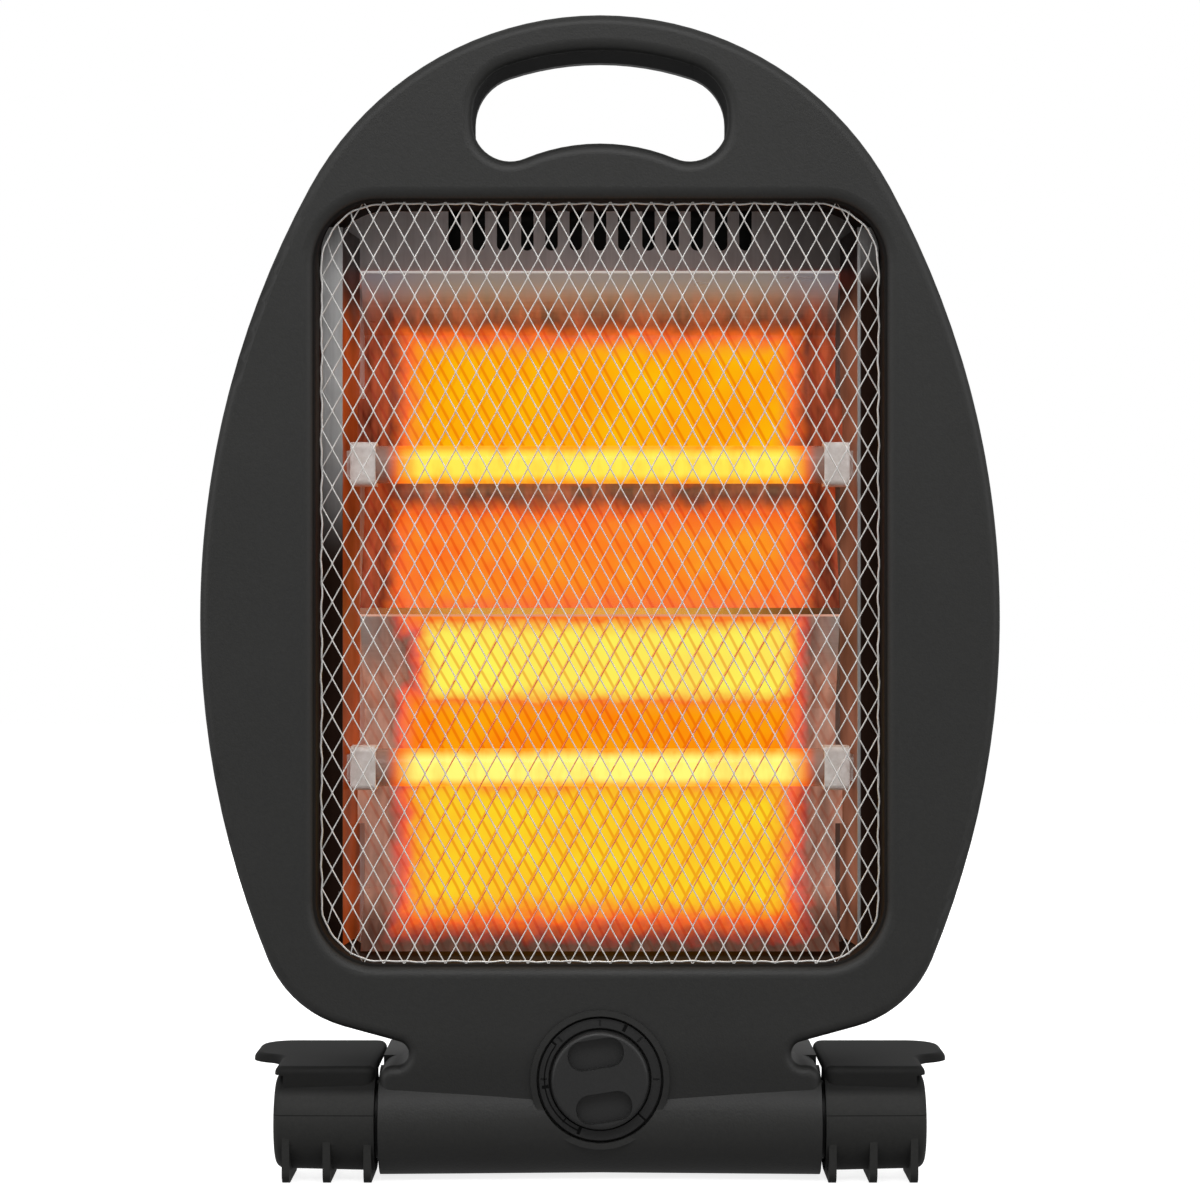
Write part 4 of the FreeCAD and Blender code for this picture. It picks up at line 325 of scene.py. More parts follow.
def painted_glow_patch(name):
    """Painted glow patch: the tubes' glow as a painted reflection on a reflector, a rounded box distance in X
    and Z with wavering edges, from dark to a core colour.
    """
    tree, given, out = new_group(
        name,
        {
            "Place": None, "Middle X": 0.0, "Middle Z": 0.2, "Half Width": 0.07, "Half Height": 0.02,
            "Softness": 0.006, "Core Colour": (1.0, 0.4, 0.02, 1.0), "Rim Colour": (0.7, 0.08, 0.01, 1.0),
        },
        {"Glow": "Color", "Heat": "Float", "Halo": "Float"},
    )
    at = parts(tree, given["Place"])
    soft = given["Softness"]
    over_x = maths(tree, "SUBTRACT", away(tree, at["X"], given["Middle X"]), given["Half Width"])
    over_z = maths(tree, "SUBTRACT", away(tree, at["Z"], given["Middle Z"]), given["Half Height"])
    far = maths(tree, "SMOOTH_MAX", over_x, over_z, soft)
    waver = maths(tree, "SUBTRACT", noise(tree, given["Place"], 130.0, 3.0, 0.6), 0.5)
    reach = maths(tree, "ADD", far, product(tree, waver, soft))
    glow_fill = spread(tree, reach, soft, product(tree, soft, -1.6), smooth=True)
    core = add_node(tree, "ShaderNodeHueSaturation")
    wander = noise(tree, given["Place"], 55.0, 2.0)
    dress(tree, core, Color=given["Core Colour"], Hue=spread(tree, wander, 0.3, 0.7, 0.488, 0.513))
    hue = blended(tree, spread(tree, glow_fill, 0.5, 1.0), given["Rim Colour"], core.outputs["Color"])
    dress(
        tree, out, Glow=blended(tree, spread(tree, glow_fill, 0.02, 0.5), BLACK, hue), Heat=glow_fill,
        Halo=spread(tree, reach, product(tree, soft, 2.6), 0.0, smooth=True),
    )
    return tree


def guard_image(name):
    """Guard image: two families of slanted lines on a diamond pitch, as the guard's strands in a painted
    reflection and shadow on bright metal.
    """
    tree, given, out = new_group(
        name,
        {"Place": None, "Pitch X": 0.0071, "Pitch Z": 0.0131, "Shift": 0.3, "Second Way": 0.45},
        {"Lines": "Float"},
    )
    at = parts(tree, given["Place"])
    across = maths(tree, "DIVIDE", at["X"], given["Pitch X"])
    upward = maths(tree, "DIVIDE", at["Z"], given["Pitch Z"])
    lines = []
    for way, weight in (("ADD", 1.0), ("SUBTRACT", given["Second Way"])):
        count = maths(tree, "ADD", maths(tree, way, across, upward), given["Shift"])
        off = away(tree, maths(tree, "FRACT", count), 0.5)
        lines.append(spread(tree, off, 0.11, 0.04, 0.0, weight, smooth=True))
    dress(tree, out, Lines=largest(tree, *lines))
    return tree


GROUPS = {
    "Moulded Grain": moulded_grain,
    "Rolled Sheet": rolled_sheet,
    "Heat Patch": painted_glow_patch,
    "Guard Image": guard_image,
}


def place_group(tree, name, **values):
    """Places a node group in a material, built when it is first asked for, and feeds its inputs by name."""
    made = add_node(tree, "ShaderNodeGroup")
    made.node_tree = bpy.data.node_groups.get(name) or GROUPS[name](name)
    dress(tree, made, **values)
    return made.outputs


def sheet_on(tree, place, streak_scale, cloud_scale, colour, roughness):
    """The rolled sheet group, with the scales of its streaks and clouds."""
    return place_group(
        tree, "Rolled Sheet", Streaks=stretched(tree, place, streak_scale),
        Clouds=stretched(tree, place, cloud_scale), Colour=colour, Roughness=roughness,
    )


def new_finish(name):
    """A new material with its shader, and Object coordinates as its place."""
    finish = bpy.data.materials.new(name)
    finish.use_nodes = True
    tree = finish.node_tree
    shader = tree.nodes["Principled BSDF"]
    place = add_node(tree, "ShaderNodeTexCoord").outputs["Object"]
    return finish, tree, shader, place


def bumped(tree, shader, height, strength, distance):
    """Feeds a height through a Bump node to the shader's normal."""
    made = add_node(tree, "ShaderNodeBump")
    dress(tree, made, Strength=strength, Distance=distance, Height=height)
    join(tree, made.outputs["Normal"], shader.inputs["Normal"])


def wear(nodes, finish):
    """Gives CAD nodes their finish."""
    for name in nodes:
        mesh = NODES[name].data
        mesh.materials.clear()
        mesh.materials.append(finish)


# Finishes

def moulded_plastic(name, colour, pebble_scale, depth, roughness, shade=0.12, gloss=0.35, painted_shade_and_seam=None):
    """Moulded plastic with a pebbled grain, turned near black where a mask made by the given function is 1:
    painted shade, and on the feet a dark parting line.
    """
    finish, tree, shader, place = new_finish(name)
    grain = place_group(
        tree, "Moulded Grain", Place=place, Pebble_Scale=pebble_scale, Colour=full(colour), Shade=shade,
        Roughness=roughness,
    )
    tint = grain["Colour"]
    rough = grain["Roughness"]
    if painted_shade_and_seam:
        mask = painted_shade_and_seam(tree, place)
        tint = blended(tree, mask, tint, MARK_AND_SHADE_BLACK)
        rough = largest(tree, rough, mask)
    dress(tree, shader, Base_Color=tint, Roughness=rough, Specular_IOR_Level=gloss)
    bumped(tree, shader, grain["Height"], 0.35, depth)
    return finish


def rolled_metal(name, colour, roughness, streak_scale, cloud_scale=EVEN_CLOUDS, metallic=1.0):
    """Rolled sheet metal with streaks drawn out along one axis."""
    finish, tree, shader, place = new_finish(name)
    sheet = sheet_on(tree, place, streak_scale, cloud_scale, full(colour), roughness)
    dress(tree, shader, Base_Color=sheet["Colour"], Roughness=sheet["Roughness"], Metallic=metallic)
    bumped(tree, shader, sheet["Height"], 0.1, 0.0001)
    return finish


def wall_shade(tree, place):
    """A mask of painted shade on the walls of the window and the handle's hole, and a faint one on the
    barrel's top edge.

    The window's walls lie inside the guard's outline and behind the panel's front. The hole's walls lie in
    a block round the hole with an arched top, well behind the front. The barrel's edge lies in a band of
    heights under the panel.
    """
    low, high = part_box("guard_mesh")
    at = parts(tree, place)
    side = maths(tree, "ABSOLUTE", at["X"])
    reach = (high.z - low.z) / 2.0
    window = product(
        tree, spread(tree, side, high.x, high.x - 0.001),
        spread(tree, away(tree, at["Z"], (low.z + high.z) / 2.0), reach, reach - 0.001),
        spread(tree, at["Y"], low.y - 0.0042, low.y - 0.0028, smooth=True),
    )
    arched = maths(tree, "ADD", at["Z"], product(tree, maths(tree, "POWER", at["X"], 2.0), RIM_ARCH))
    hole = product(
        tree, spread(tree, side, HOLE_HALF, HOLE_HALF - 0.002),
        spread(tree, at["Z"], high.z + 0.012, high.z + 0.014),
        spread(tree, arched, CAD_HIGH.z - 0.0070, CAD_HIGH.z - 0.0085),
        spread(tree, at["Y"], low.y - 0.0035, low.y - 0.001, smooth=True),
    )
    fold = product(
        tree, spread(tree, at["Z"], *BARREL_DARKENS, 0.0, 0.4, smooth=True),
        spread(tree, at["Z"], *BARREL_CLEARS, smooth=True),
    )
    return largest(tree, window, hole, fold)


def foot_seam_and_shade(tree, place):
    """A mask of the mould's parting line round a foot's barrel, and of painted shade that makes the sole
    darker.
    """
    low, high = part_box("right_foot")
    at = parts(tree, place)
    line_height = (low.z + high.z) / 2.0 + LINE_RISE
    seam_and_glow_line = spread(tree, away(tree, at["Z"], line_height), LINE_HALF, 0.0001, 0.0, 0.8)
    sole_shade = spread(tree, at["Z"], high.z - SOLE_DEPTH, high.z - SOLE_DEPTH + 0.002, 0.0, 0.65)
    return largest(tree, seam_and_glow_line, sole_shade)


def dial_marks(tree, place, middle_z):
    """A mask of the dial's moulded marks, from the angle and radius about the knob's axis.

    A mark is a short bar: the place along its angle lies between its radii, and the place across its angle
    within its width. The arc is a thin groove at one radius between two angles.
    """
    at = parts(tree, place)
    rise = maths(tree, "SUBTRACT", at["Z"], middle_z)
    masks = []
    for degrees, half, inner, outer in DIAL_MARKS:
        cosine = math.cos(math.radians(degrees))
        sine = math.sin(math.radians(degrees))
        along = maths(tree, "ADD", product(tree, at["X"], cosine), product(tree, rise, sine))
        aside = away(tree, product(tree, rise, cosine), product(tree, at["X"], sine))
        thin = spread(tree, aside, half * 1.25, half * 0.8)
        span = away(tree, along, (inner + outer) / 2.0)
        masks.append(product(tree, thin, spread(tree, span, (outer - inner) * 0.52, (outer - inner) * 0.46)))
    radius, half, start, end = DIAL_ARC
    squares = maths(tree, "ADD", maths(tree, "POWER", at["X"], 2.0), maths(tree, "POWER", rise, 2.0))
    ring = away(tree, maths(tree, "SQRT", squares), radius)
    angle = maths(tree, "ARCTAN2", rise, product(tree, at["X"], -1.0))
    swing = away(tree, angle, math.radians(180.0 - (start + end) / 2.0))
    sweep = math.radians((end - start) / 2.0)
    groove = product(
        tree, spread(tree, swing, sweep * 1.03, sweep * 0.97), spread(tree, ring, half * 1.3, half * 0.7),
    )
    return largest(tree, *masks, groove)


def tube_light_on_guard(finish, look, middle_z):
    """Paints the tubes' light on the guard's strands of one slant in front of the hot tubes, most of all
    before the lower one, as a painted orange glow.

    The mask lies in a band of heights before each tube, fades out beyond the tube's ends, is patchy by
    noise, and is small on the strands of the other slant.
    """
    tree = finish.node_tree
    shader = tree.nodes["Principled BSDF"]
    place = add_node(tree, "ShaderNodeTexCoord").outputs["Object"]
    at = parts(tree, place)
    near = spread(tree, maths(tree, "ABSOLUTE", at["X"]), 0.074, 0.060)
    bands = [
        spread(tree, away(tree, at["Z"], middle), outer, inner, 0.0, share)
        for middle, outer, inner, share in GUARD_BANDS
    ]
    other_way = place_group(
        tree, "Guard Image", Place=place, Pitch_X=look.diamond_width, Pitch_Z=look.diamond_height,
        Shift=-middle_z / look.diamond_height, Second_Way=0.0,
    )
    patchy = spread(tree, noise(tree, place, 300.0, 2.0), 0.36, 0.56, 0.35, 0.95)
    one_way = spread(tree, other_way["Lines"], 0.0, 1.0, 1.0, 0.15)
    mask = product(tree, near, largest(tree, *bands), patchy, one_way)
    plain = shader.inputs["Base Color"].links[0].from_socket
    dress(tree, shader, Base_Color=blended(tree, mask, plain, paint(238, 112, 66)))


# Meshes

def mesh_piece(name, points, faces, finish, slot, body="housing", smooth=True):
    """A new mesh object from point and face arrays, merged at shared points and turned outwards."""
    mesh = bpy.data.meshes.new(name)
    mesh.from_pydata(points.tolist(), [], [face.tolist() for face in faces])
    work = bmesh.new()
    work.from_mesh(mesh)
    bmesh.ops.remove_doubles(work, verts=work.verts, dist=MERGE_GAP)
    bmesh.ops.dissolve_degenerate(work, dist=THIN_EDGE, edges=work.edges)
    bmesh.ops.recalc_face_normals(work, faces=work.faces)
    work.to_mesh(mesh)
    work.free()
    mesh.materials.append(finish)
    mesh.polygons.foreach_set("use_smooth", np.full(len(mesh.polygons), smooth))
    made = bpy.data.objects.new(name, mesh)
    bpy.context.scene.collection.objects.link(made)
    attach(made, body)
    return made


def rounded_window(points, half, low, high, corner):
    """Pulls points that lie outside a rounded rectangle back to its edge.

    The nearest point of the inner core rectangle is found, and a point farther from it than the corner
    radius moves along that line to the radius.
    """
    flat = points[:, (0, 2)]
    core = np.stack(
        (
            np.clip(flat[:, 0], -half + corner, half - corner),
            np.clip(flat[:, 1], low + corner, high - corner),
        ),
        axis=-1,
    )
    offset = flat - core
    far = np.linalg.norm(offset, axis=1)
    outside = far > corner
    pulled = core + offset * (corner / np.maximum(far, 1e-9))[:, None]
    moved = points.copy()
    moved[:, (0, 2)] = np.where(outside[:, None], pulled, flat)
    return moved, outside


def expanded_sheet(look, half, low, high, corner, front, thick):
    """A sheet of expanded metal: diamonds on a staggered grid, each with a long six-sided hole.

    Each diamond's outline is shared with its neighbours and its hole's rim sits deeper than the outline,
    so every strand has a ridge. The sheet is pulled in to a rounded rectangle.
    """
    wide = look.diamond_width / 2.0
    tall = look.diamond_height / 2.0
    strand = look.strand_width / 2.0
    inset = 1.0 - strand * math.hypot(wide, tall) / (wide * tall)
    bond = look.bond_length / 2.0
    rows = int((high - low) / tall) + 4
    columns = int(2.0 * half / (2.0 * wide)) + 4
    row, column = np.meshgrid(np.arange(rows), np.arange(columns), indexing="ij")
    middle_x = (column - columns // 2) * 2.0 * wide + (row % 2) * wide
    middle_z = (low + high) / 2.0 + (row - rows // 2) * tall
    centre = np.stack((middle_x.ravel(), middle_z.ravel()), axis=-1)
    side_x = wide - strand * 1.25
    rise = tall * inset
    outer = np.array(((0.0, tall), (wide, 0.0), (0.0, -tall), (-wide, 0.0)))
    hole = np.array(
        ((0.0, rise), (side_x, bond), (side_x, -bond), (0.0, -rise), (-side_x, -bond), (-side_x, bond))
    )
    flat = np.concatenate((outer, hole, outer, hole))
    ridge = look.strand_ridge
    back = front + thick
    depth = np.repeat((front, front + ridge, back, back - ridge), (4, 6, 4, 6))
    spots = centre[:, None, :] + flat[None, :, :]
    points = np.empty((len(centre), len(flat), 3))
    points[:, :, 0] = spots[:, :, 0]
    points[:, :, 1] = depth[None, :]
    points[:, :, 2] = spots[:, :, 1]
    four = np.array(
        ((0, 1, 5, 4), (1, 2, 7, 6), (2, 3, 8, 7), (3, 0, 4, 9), (10, 14, 15, 11), (11, 16, 17, 12),
         (12, 17, 18, 13), (13, 19, 14, 10), (4, 5, 15, 14), (5, 6, 16, 15), (6, 7, 17, 16), (7, 8, 18, 17),
         (8, 9, 19, 18), (9, 4, 14, 19))
    )
    three = np.array(((1, 6, 5), (3, 9, 8), (11, 15, 16), (13, 18, 19)))
    first = (np.arange(len(centre)) * len(flat))[:, None, None]
    quads = (four[None] + first).reshape(-1, 4)
    tris = (three[None] + first).reshape(-1, 3)
    points, outside = rounded_window(points.reshape(-1, 3), half, low, high, corner)
    quads = quads[~outside[quads].all(axis=1)]
    tris = tris[~outside[tris].all(axis=1)]
    return points, list(quads) + list(tris)


def tube_points(path, first, second, sides, width):
    """Rings of points round a path: half a width along two directions, by cosine and sine of a full turn."""
    turn = np.linspace(0.0, 2.0 * math.pi, sides, endpoint=False)
    ring = first[:, None, :] * np.cos(turn)[None, :, None] + second[:, None, :] * np.sin(turn)[None, :, None]
    return (path[:, None, :] + ring * width / 2.0).reshape(-1, 3)


def tube_faces(count, sides, closed):
    """Quads from each ring of points to the next, and from the last to the first where the tube is closed."""
    here = np.arange(count if closed else count - 1)[:, None]
    onward = (here + 1) % count * sides
    here = here * sides
    step = np.arange(sides)[None, :]
    beside = (step + 1) % sides
    quads = np.stack((here + step, here + beside, onward + beside, onward + step), axis=-1)
    return list(quads.reshape(-1, 4))


def rim_path(half, low, high, corner, depth):
    """A closed path round a rounded rectangle: four quarter circles and straight sides, evenly spaced."""
    turn = np.linspace(0.0, math.pi / 2.0, CORNER_POINTS)
    quarter = np.stack((np.cos(turn), np.sin(turn)), axis=-1) * corner
    spin = np.array(((0.0, -1.0), (1.0, 0.0)))
    places = []
    for index, (x, z) in enumerate(((1, 1), (-1, 1), (-1, -1), (1, -1))):
        turned = quarter @ np.linalg.matrix_power(spin, index).T
        middle = np.array((x * (half - corner), high - corner if z > 0 else low + corner))
        places.append(turned + middle)
    loop = np.concatenate(places)
    gaps = np.linalg.norm(np.roll(loop, -1, axis=0) - loop, axis=1)
    reach = np.concatenate(((0.0,), np.cumsum(gaps)))
    closed = np.concatenate((loop, loop[:1]))
    even = np.linspace(0.0, reach[-1], RIM_POINTS)
    x = np.interp(even, reach, closed[:, 0])
    z = np.interp(even, reach, closed[:, 1])
    return np.stack((x, np.full(len(x), depth), z), axis=-1), even


def swept_rim(look, half, low, high, corner, depth):
    """The guard's edge strand: a flattened wire along a rounded rectangle, with a slow waver."""
    path, even = rim_path(half, low, high, corner, depth)
    count = len(path) - 1
    path = path[:count]
    along = np.roll(path, -1, axis=0) - np.roll(path, 1, axis=0)
    along /= np.linalg.norm(along, axis=1, keepdims=True)
    inward = np.stack((-along[:, 2], np.zeros(count), along[:, 0]), axis=-1)
    waver = np.sin(even[:count] * 790.0) * 0.5 + np.sin(even[:count] * 317.0 + 1.0) * 0.5
    path = path + inward * (waver * look.rim_waver)[:, None]
    deep = np.tile((0.0, RIM_FLATNESS, 0.0), (count, 1))
    points = tube_points(path, inward, deep, RIM_SIDES, look.rim_width)
    return points, tube_faces(count, RIM_SIDES, True)


def wound_wire(look, low, high):
    """A heating wire: a helix along X between the ends, drawn out to straight tails on its axis.

    The winding radius rises smoothly from nothing at each end over a short share of the length.
    """
    middle = (np.array(low) + np.array(high)) / 2.0
    span = high[0] - low[0]
    radius = (high[2] - low[2]) / 2.0 - look.coil_wire / 2.0
    count = look.coil_turns * POINTS_TO_A_TURN
    share = np.linspace(0.0, 1.0, count)
    lift = np.clip(np.minimum(share, 1.0 - share) / look.coil_tail - 0.35, 0.0, 1.0)
    lift = lift * lift * (3.0 - 2.0 * lift)
    angle = share * look.coil_turns * 2.0 * math.pi
    path = np.stack(
        (
            low[0] + share * span,
            middle[1] + radius * lift * np.cos(angle),
            middle[2] + radius * lift * np.sin(angle),
        ),
        axis=-1,
    )
    along = np.gradient(path, axis=0)
    along /= np.linalg.norm(along, axis=1, keepdims=True)
    outward = np.stack((np.zeros(count), np.cos(angle), np.sin(angle)), axis=-1)
    across = np.cross(along, outward)
    across /= np.linalg.norm(across, axis=1, keepdims=True)
    points = tube_points(path, across, np.cross(along, across), WIRE_SIDES, look.coil_wire)
    ends = [np.arange(WIRE_SIDES)[::-1], np.arange(WIRE_SIDES) + (count - 1) * WIRE_SIDES]
    return points, tube_faces(count, WIRE_SIDES, False) + ends


# Settings

class HeaterBodyLook(bpy.types.PropertyGroup):
    """Colours and grain of the moulded body."""

    body_colour: bpy.props.FloatVectorProperty(
        name="Body Colour", description="Colour of the moulded shells", subtype="COLOR", size=3,
        default=srgb(40, 40, 39), min=0.0, max=1.0,
    )
    foot_colour: bpy.props.FloatVectorProperty(
        name="Foot Colour", description="Colour of the fold-out feet", subtype="COLOR", size=3,
        default=srgb(46, 46, 45), min=0.0, max=1.0,
    )
    knob_colour: bpy.props.FloatVectorProperty(
        name="Knob Colour", description="Colour of the switch knob", subtype="COLOR", size=3,
        default=srgb(38, 38, 38), min=0.0, max=1.0,
    )
    dial_colour: bpy.props.FloatVectorProperty(
        name="Dial Colour", description="Colour of the ring round the knob", subtype="COLOR", size=3,
        default=srgb(43, 43, 43), min=0.0, max=1.0,
    )
    pebble_scale: bpy.props.FloatProperty(
        name="Pebble Scale", description="Pebbles of the moulded grain to a metre",
        default=1500.0, min=100.0,
    )
    pebble_depth: bpy.props.FloatProperty(
        name="Pebble Depth", description="Height of the moulded grain",
        default=0.00012, unit="LENGTH", min=0.0,
    )


class HeaterGuardLook(bpy.types.PropertyGroup):
    """Sizes of the expanded-metal guard."""

    diamond_width: bpy.props.FloatProperty(
        name="Diamond Width", description="Pitch of the diamonds across", default=0.0069, unit="LENGTH",
    )
    diamond_height: bpy.props.FloatProperty(
        name="Diamond Height", description="Pitch of the diamonds upwards", default=0.0128, unit="LENGTH",
    )
    strand_width: bpy.props.FloatProperty(
        name="Strand Width", description="Width of one strand", default=0.0005, unit="LENGTH",
    )
    strand_ridge: bpy.props.FloatProperty(
        name="Strand Ridge", description="How far a strand's ridge stands over its edges", default=0.00012,
        unit="LENGTH",
    )
    bond_length: bpy.props.FloatProperty(
        name="Bond Length", description="Length of the knot where strands meet",
        default=0.0005, unit="LENGTH",
    )
    rim_width: bpy.props.FloatProperty(
        name="Rim Width", description="Width of the strand along the guard's edge",
        default=0.0007, unit="LENGTH",
    )
    rim_inset: bpy.props.FloatProperty(
        name="Rim Inset", description="How far the edge strand lies inside the guard's hidden edge",
        default=0.0051,
        unit="LENGTH",
    )
    rim_corner: bpy.props.FloatProperty(
        name="Rim Corner", description="Corner radius of the edge strand", default=0.0205, unit="LENGTH",
    )
    rim_waver: bpy.props.FloatProperty(
        name="Rim Waver", description="How far the edge strand wanders", default=0.0003, unit="LENGTH",
    )
    steel_colour: bpy.props.FloatVectorProperty(
        name="Guard Colour", description="Colour of the bright guard metal", subtype="COLOR", size=3,
        default=srgb(218, 216, 213), min=0.0, max=1.0,
    )


class HeaterGlowLook(bpy.types.PropertyGroup):
    """Colours of the hot tubes, and of their glow painted on the reflectors as a painted reflection."""

    coil_turns: bpy.props.IntProperty(
        name="Coil Turns", description="Turns of each heating wire", default=78, min=24,
    )
    coil_wire: bpy.props.FloatProperty(
        name="Coil Wire", description="Thickness of the heating wire", default=0.0007, unit="LENGTH",
    )
    coil_tail: bpy.props.FloatProperty(
        name="Coil Tail", description="Share of the wire over which each end is drawn out", default=0.05,
        subtype="FACTOR", min=0.01, max=0.2,
    )
    upper_tube: bpy.props.FloatVectorProperty(
        name="Upper Tube", description="Glow of the upper tube", subtype="COLOR", size=3,
        default=srgb(253, 236, 80), min=0.0, max=1.0,
    )
    lower_tube: bpy.props.FloatVectorProperty(
        name="Lower Tube", description="Glow of the lower tube", subtype="COLOR", size=3,
        default=srgb(254, 250, 120), min=0.0, max=1.0,
    )
    tube_edge: bpy.props.FloatVectorProperty(
        name="Tube Edge", description="Glow along the top and bottom of a tube", subtype="COLOR", size=3,
        default=srgb(252, 150, 20), min=0.0, max=1.0,
    )
    # The glow colours below are painted reflections of the tubes on the reflectors, and the halo is painted
    # glow round them
    glow_rim: bpy.props.FloatVectorProperty(
        name="Glow Rim", description="Colour at the edge of the glow on the reflectors",
        subtype="COLOR", size=3,
        default=srgb(243, 102, 28), min=0.0, max=1.0,
    )
    glow_a: bpy.props.FloatVectorProperty(
        name="Glow Over Upper Tube", description="Glow of the upper reflector's top half",
        subtype="COLOR", size=3,
        default=srgb(253, 174, 6), min=0.0, max=1.0,
    )
    glow_b: bpy.props.FloatVectorProperty(
        name="Glow Under Upper Tube", description="Glow of the upper reflector's low half",
        subtype="COLOR", size=3,
        default=srgb(252, 136, 34), min=0.0, max=1.0,
    )
    glow_c: bpy.props.FloatVectorProperty(
        name="Glow Over Lower Tube", description="Glow of the lower reflector's top half",
        subtype="COLOR", size=3,
        default=srgb(253, 236, 90), min=0.0, max=1.0,
    )
    glow_d: bpy.props.FloatVectorProperty(
        name="Glow Under Lower Tube", description="Glow of the lower reflector's low half",
        subtype="COLOR", size=3,
        default=srgb(252, 206, 38), min=0.0, max=1.0,
    )
    glow_e: bpy.props.FloatVectorProperty(
        name="Glow By Lower Tube", description="Glow just above the lower tube", subtype="COLOR", size=3,
        default=srgb(252, 148, 8), min=0.0, max=1.0,
    )
    glow_halo: bpy.props.FloatVectorProperty(
        name="Glow Halo", description="Dim glow round the hot part of the reflectors",
        subtype="COLOR", size=3,
        default=srgb(172, 68, 26), min=0.0, max=1.0,
    )
    strength: bpy.props.FloatProperty(
        name="Glow Strength", description="Strength of every glow", default=1.0, min=0.0,
    )


class HeaterStageLook(bpy.types.PropertyGroup):
    """Studio light and camera."""

    camera_away: bpy.props.FloatProperty(
        name="Camera Distance", description="Distance of the camera from the origin",
        default=1.13595, unit="LENGTH",
    )
    camera_height: bpy.props.FloatProperty(
        name="Camera Height", description="Height of the camera over the floor",
        default=0.1945, unit="LENGTH",
    )
    camera_angle: bpy.props.FloatProperty(
        name="Camera Angle", description="Full angle of view", default=2.0 * math.atan(200.0 / 1100.0),
        subtype="ANGLE",
    )
    sky_light: bpy.props.FloatProperty(
        name="Sky Light", description="Strength of the even light from all round", default=0.45, min=0.0,
    )
    floor_shine: bpy.props.FloatProperty(
        name="Floor Shine", description="How bright the floor is in mirror images",
        default=0.32, min=0.0, max=1.0,
    )
    key_light: bpy.props.FloatProperty(
        name="Key Light", description="Power of the soft light over the front", default=7.6, min=0.0,
    )
    side_light: bpy.props.FloatProperty(
        name="Side Light", description="Power of each soft side light", default=5.0, min=0.0,
    )
    back_light: bpy.props.FloatProperty(
        name="Back Light", description="Power of the soft light behind", default=26.0, min=0.0,
    )


# Operators

class HEATER_OT_housing(bpy.types.Operator):
    """Finishes the moulded shells and the underside."""

    bl_idname = "heater.housing"
    bl_label = "Housing"

    def execute(self, context):
        look = context.scene.heater_body
        grain = (look.body_colour, look.pebble_scale, look.pebble_depth, 0.5)
        # The front shell's plastic carries painted shade on the walls of the window and the handle's hole and
        # on the barrel's top edge
        wear(("front_housing",), moulded_plastic("housing_plastic", *grain, painted_shade_and_seam=wall_shade))
        wear(("rear_cover", "base_plate"), moulded_plastic("cover_plastic", *grain))
        pads = moulded_plastic("pad_rubber", srgb(24, 24, 24), 2600.0, 0.0001, 0.8, 0.2, 0.2)
        wear(("rubber_pads", "cable_gland"), pads)
        return {"FINISHED"}


class HEATER_OT_feet(bpy.types.Operator):
    """Finishes the fold-out feet."""

    bl_idname = "heater.feet"
    bl_label = "Feet"

    def execute(self, context):
        look = context.scene.heater_body
        # The feet's plastic carries a dark parting line and painted shade on the sole
        moulded = moulded_plastic(
            "foot_plastic", look.foot_colour, look.pebble_scale * 1.1, look.pebble_depth * 0.7, 0.6,
            gloss=0.18, painted_shade_and_seam=foot_seam_and_shade,
        )
        wear(("left_foot", "right_foot"), moulded)
        return {"FINISHED"}


class HEATER_OT_dial(bpy.types.Operator):
    """Finishes the switch knob and the ring round it."""

    bl_idname = "heater.dial"
    bl_label = "Dial"

    def execute(self, context):
        look = context.scene.heater_body
        knob = moulded_plastic("knob_plastic", look.knob_colour, 2400.0, 0.00006, 0.42, 0.1, 0.4)
        wear(("control_knob",), knob)
        ring, tree, shader, place = new_finish("dial_plastic")
        low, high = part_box("dial_ring")
        marks = dial_marks(tree, place, (low.z + high.z) / 2.0)
        grain = place_group(
            tree, "Moulded Grain", Place=place, Pebble_Scale=2000.0, Colour=full(look.dial_colour), Shade=0.1,
            Roughness=0.5,
        )
        dress(
            tree, shader, Base_Color=blended(tree, marks, grain["Colour"], MARK_AND_SHADE_BLACK),
            Roughness=largest(tree, grain["Roughness"], marks), Specular_IOR_Level=0.3,
        )
        cut = maths(tree, "SUBTRACT", grain["Height"], product(tree, marks, 4.0))
        bumped(tree, shader, cut, 0.35, 0.00008)
        wear(("dial_ring",), ring)
        return {"FINISHED"}


class HEATER_OT_guard(bpy.types.Operator):
    """Stretches the expanded-metal guard in the window."""

    bl_idname = "heater.guard"
    bl_label = "Guard"

    def execute(self, context):
        look = context.scene.heater_guard
        low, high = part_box("guard_mesh")
        finish = rolled_metal(
            "guard_wire", look.steel_colour, 0.34, (900.0, 900.0, 900.0), (120.0, 120.0, 120.0), 0.55,
        )
        # The tubes' light is painted on the strands as an orange glow
        tube_light_on_guard(finish, look, (low.z + high.z) / 2.0)
        half = high.x - look.rim_inset
        inset = look.rim_inset - 0.0013
        corner = look.rim_corner + inset * 1.7
        sheet = expanded_sheet(look, half, low.z, high.z, corner, low.y, high.y - low.y)
        guard = mesh_piece("guard_diamonds", *sheet, finish, "guard_wire", smooth=False)
        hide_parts("guard_mesh")
        edge = swept_rim(
            look, half, low.z + inset, high.z - inset, look.rim_corner, low.y + look.rim_width * 0.3,
        )
        mesh_piece("guard_rim", *edge, finish, "guard_wire")
        return {"FINISHED"}


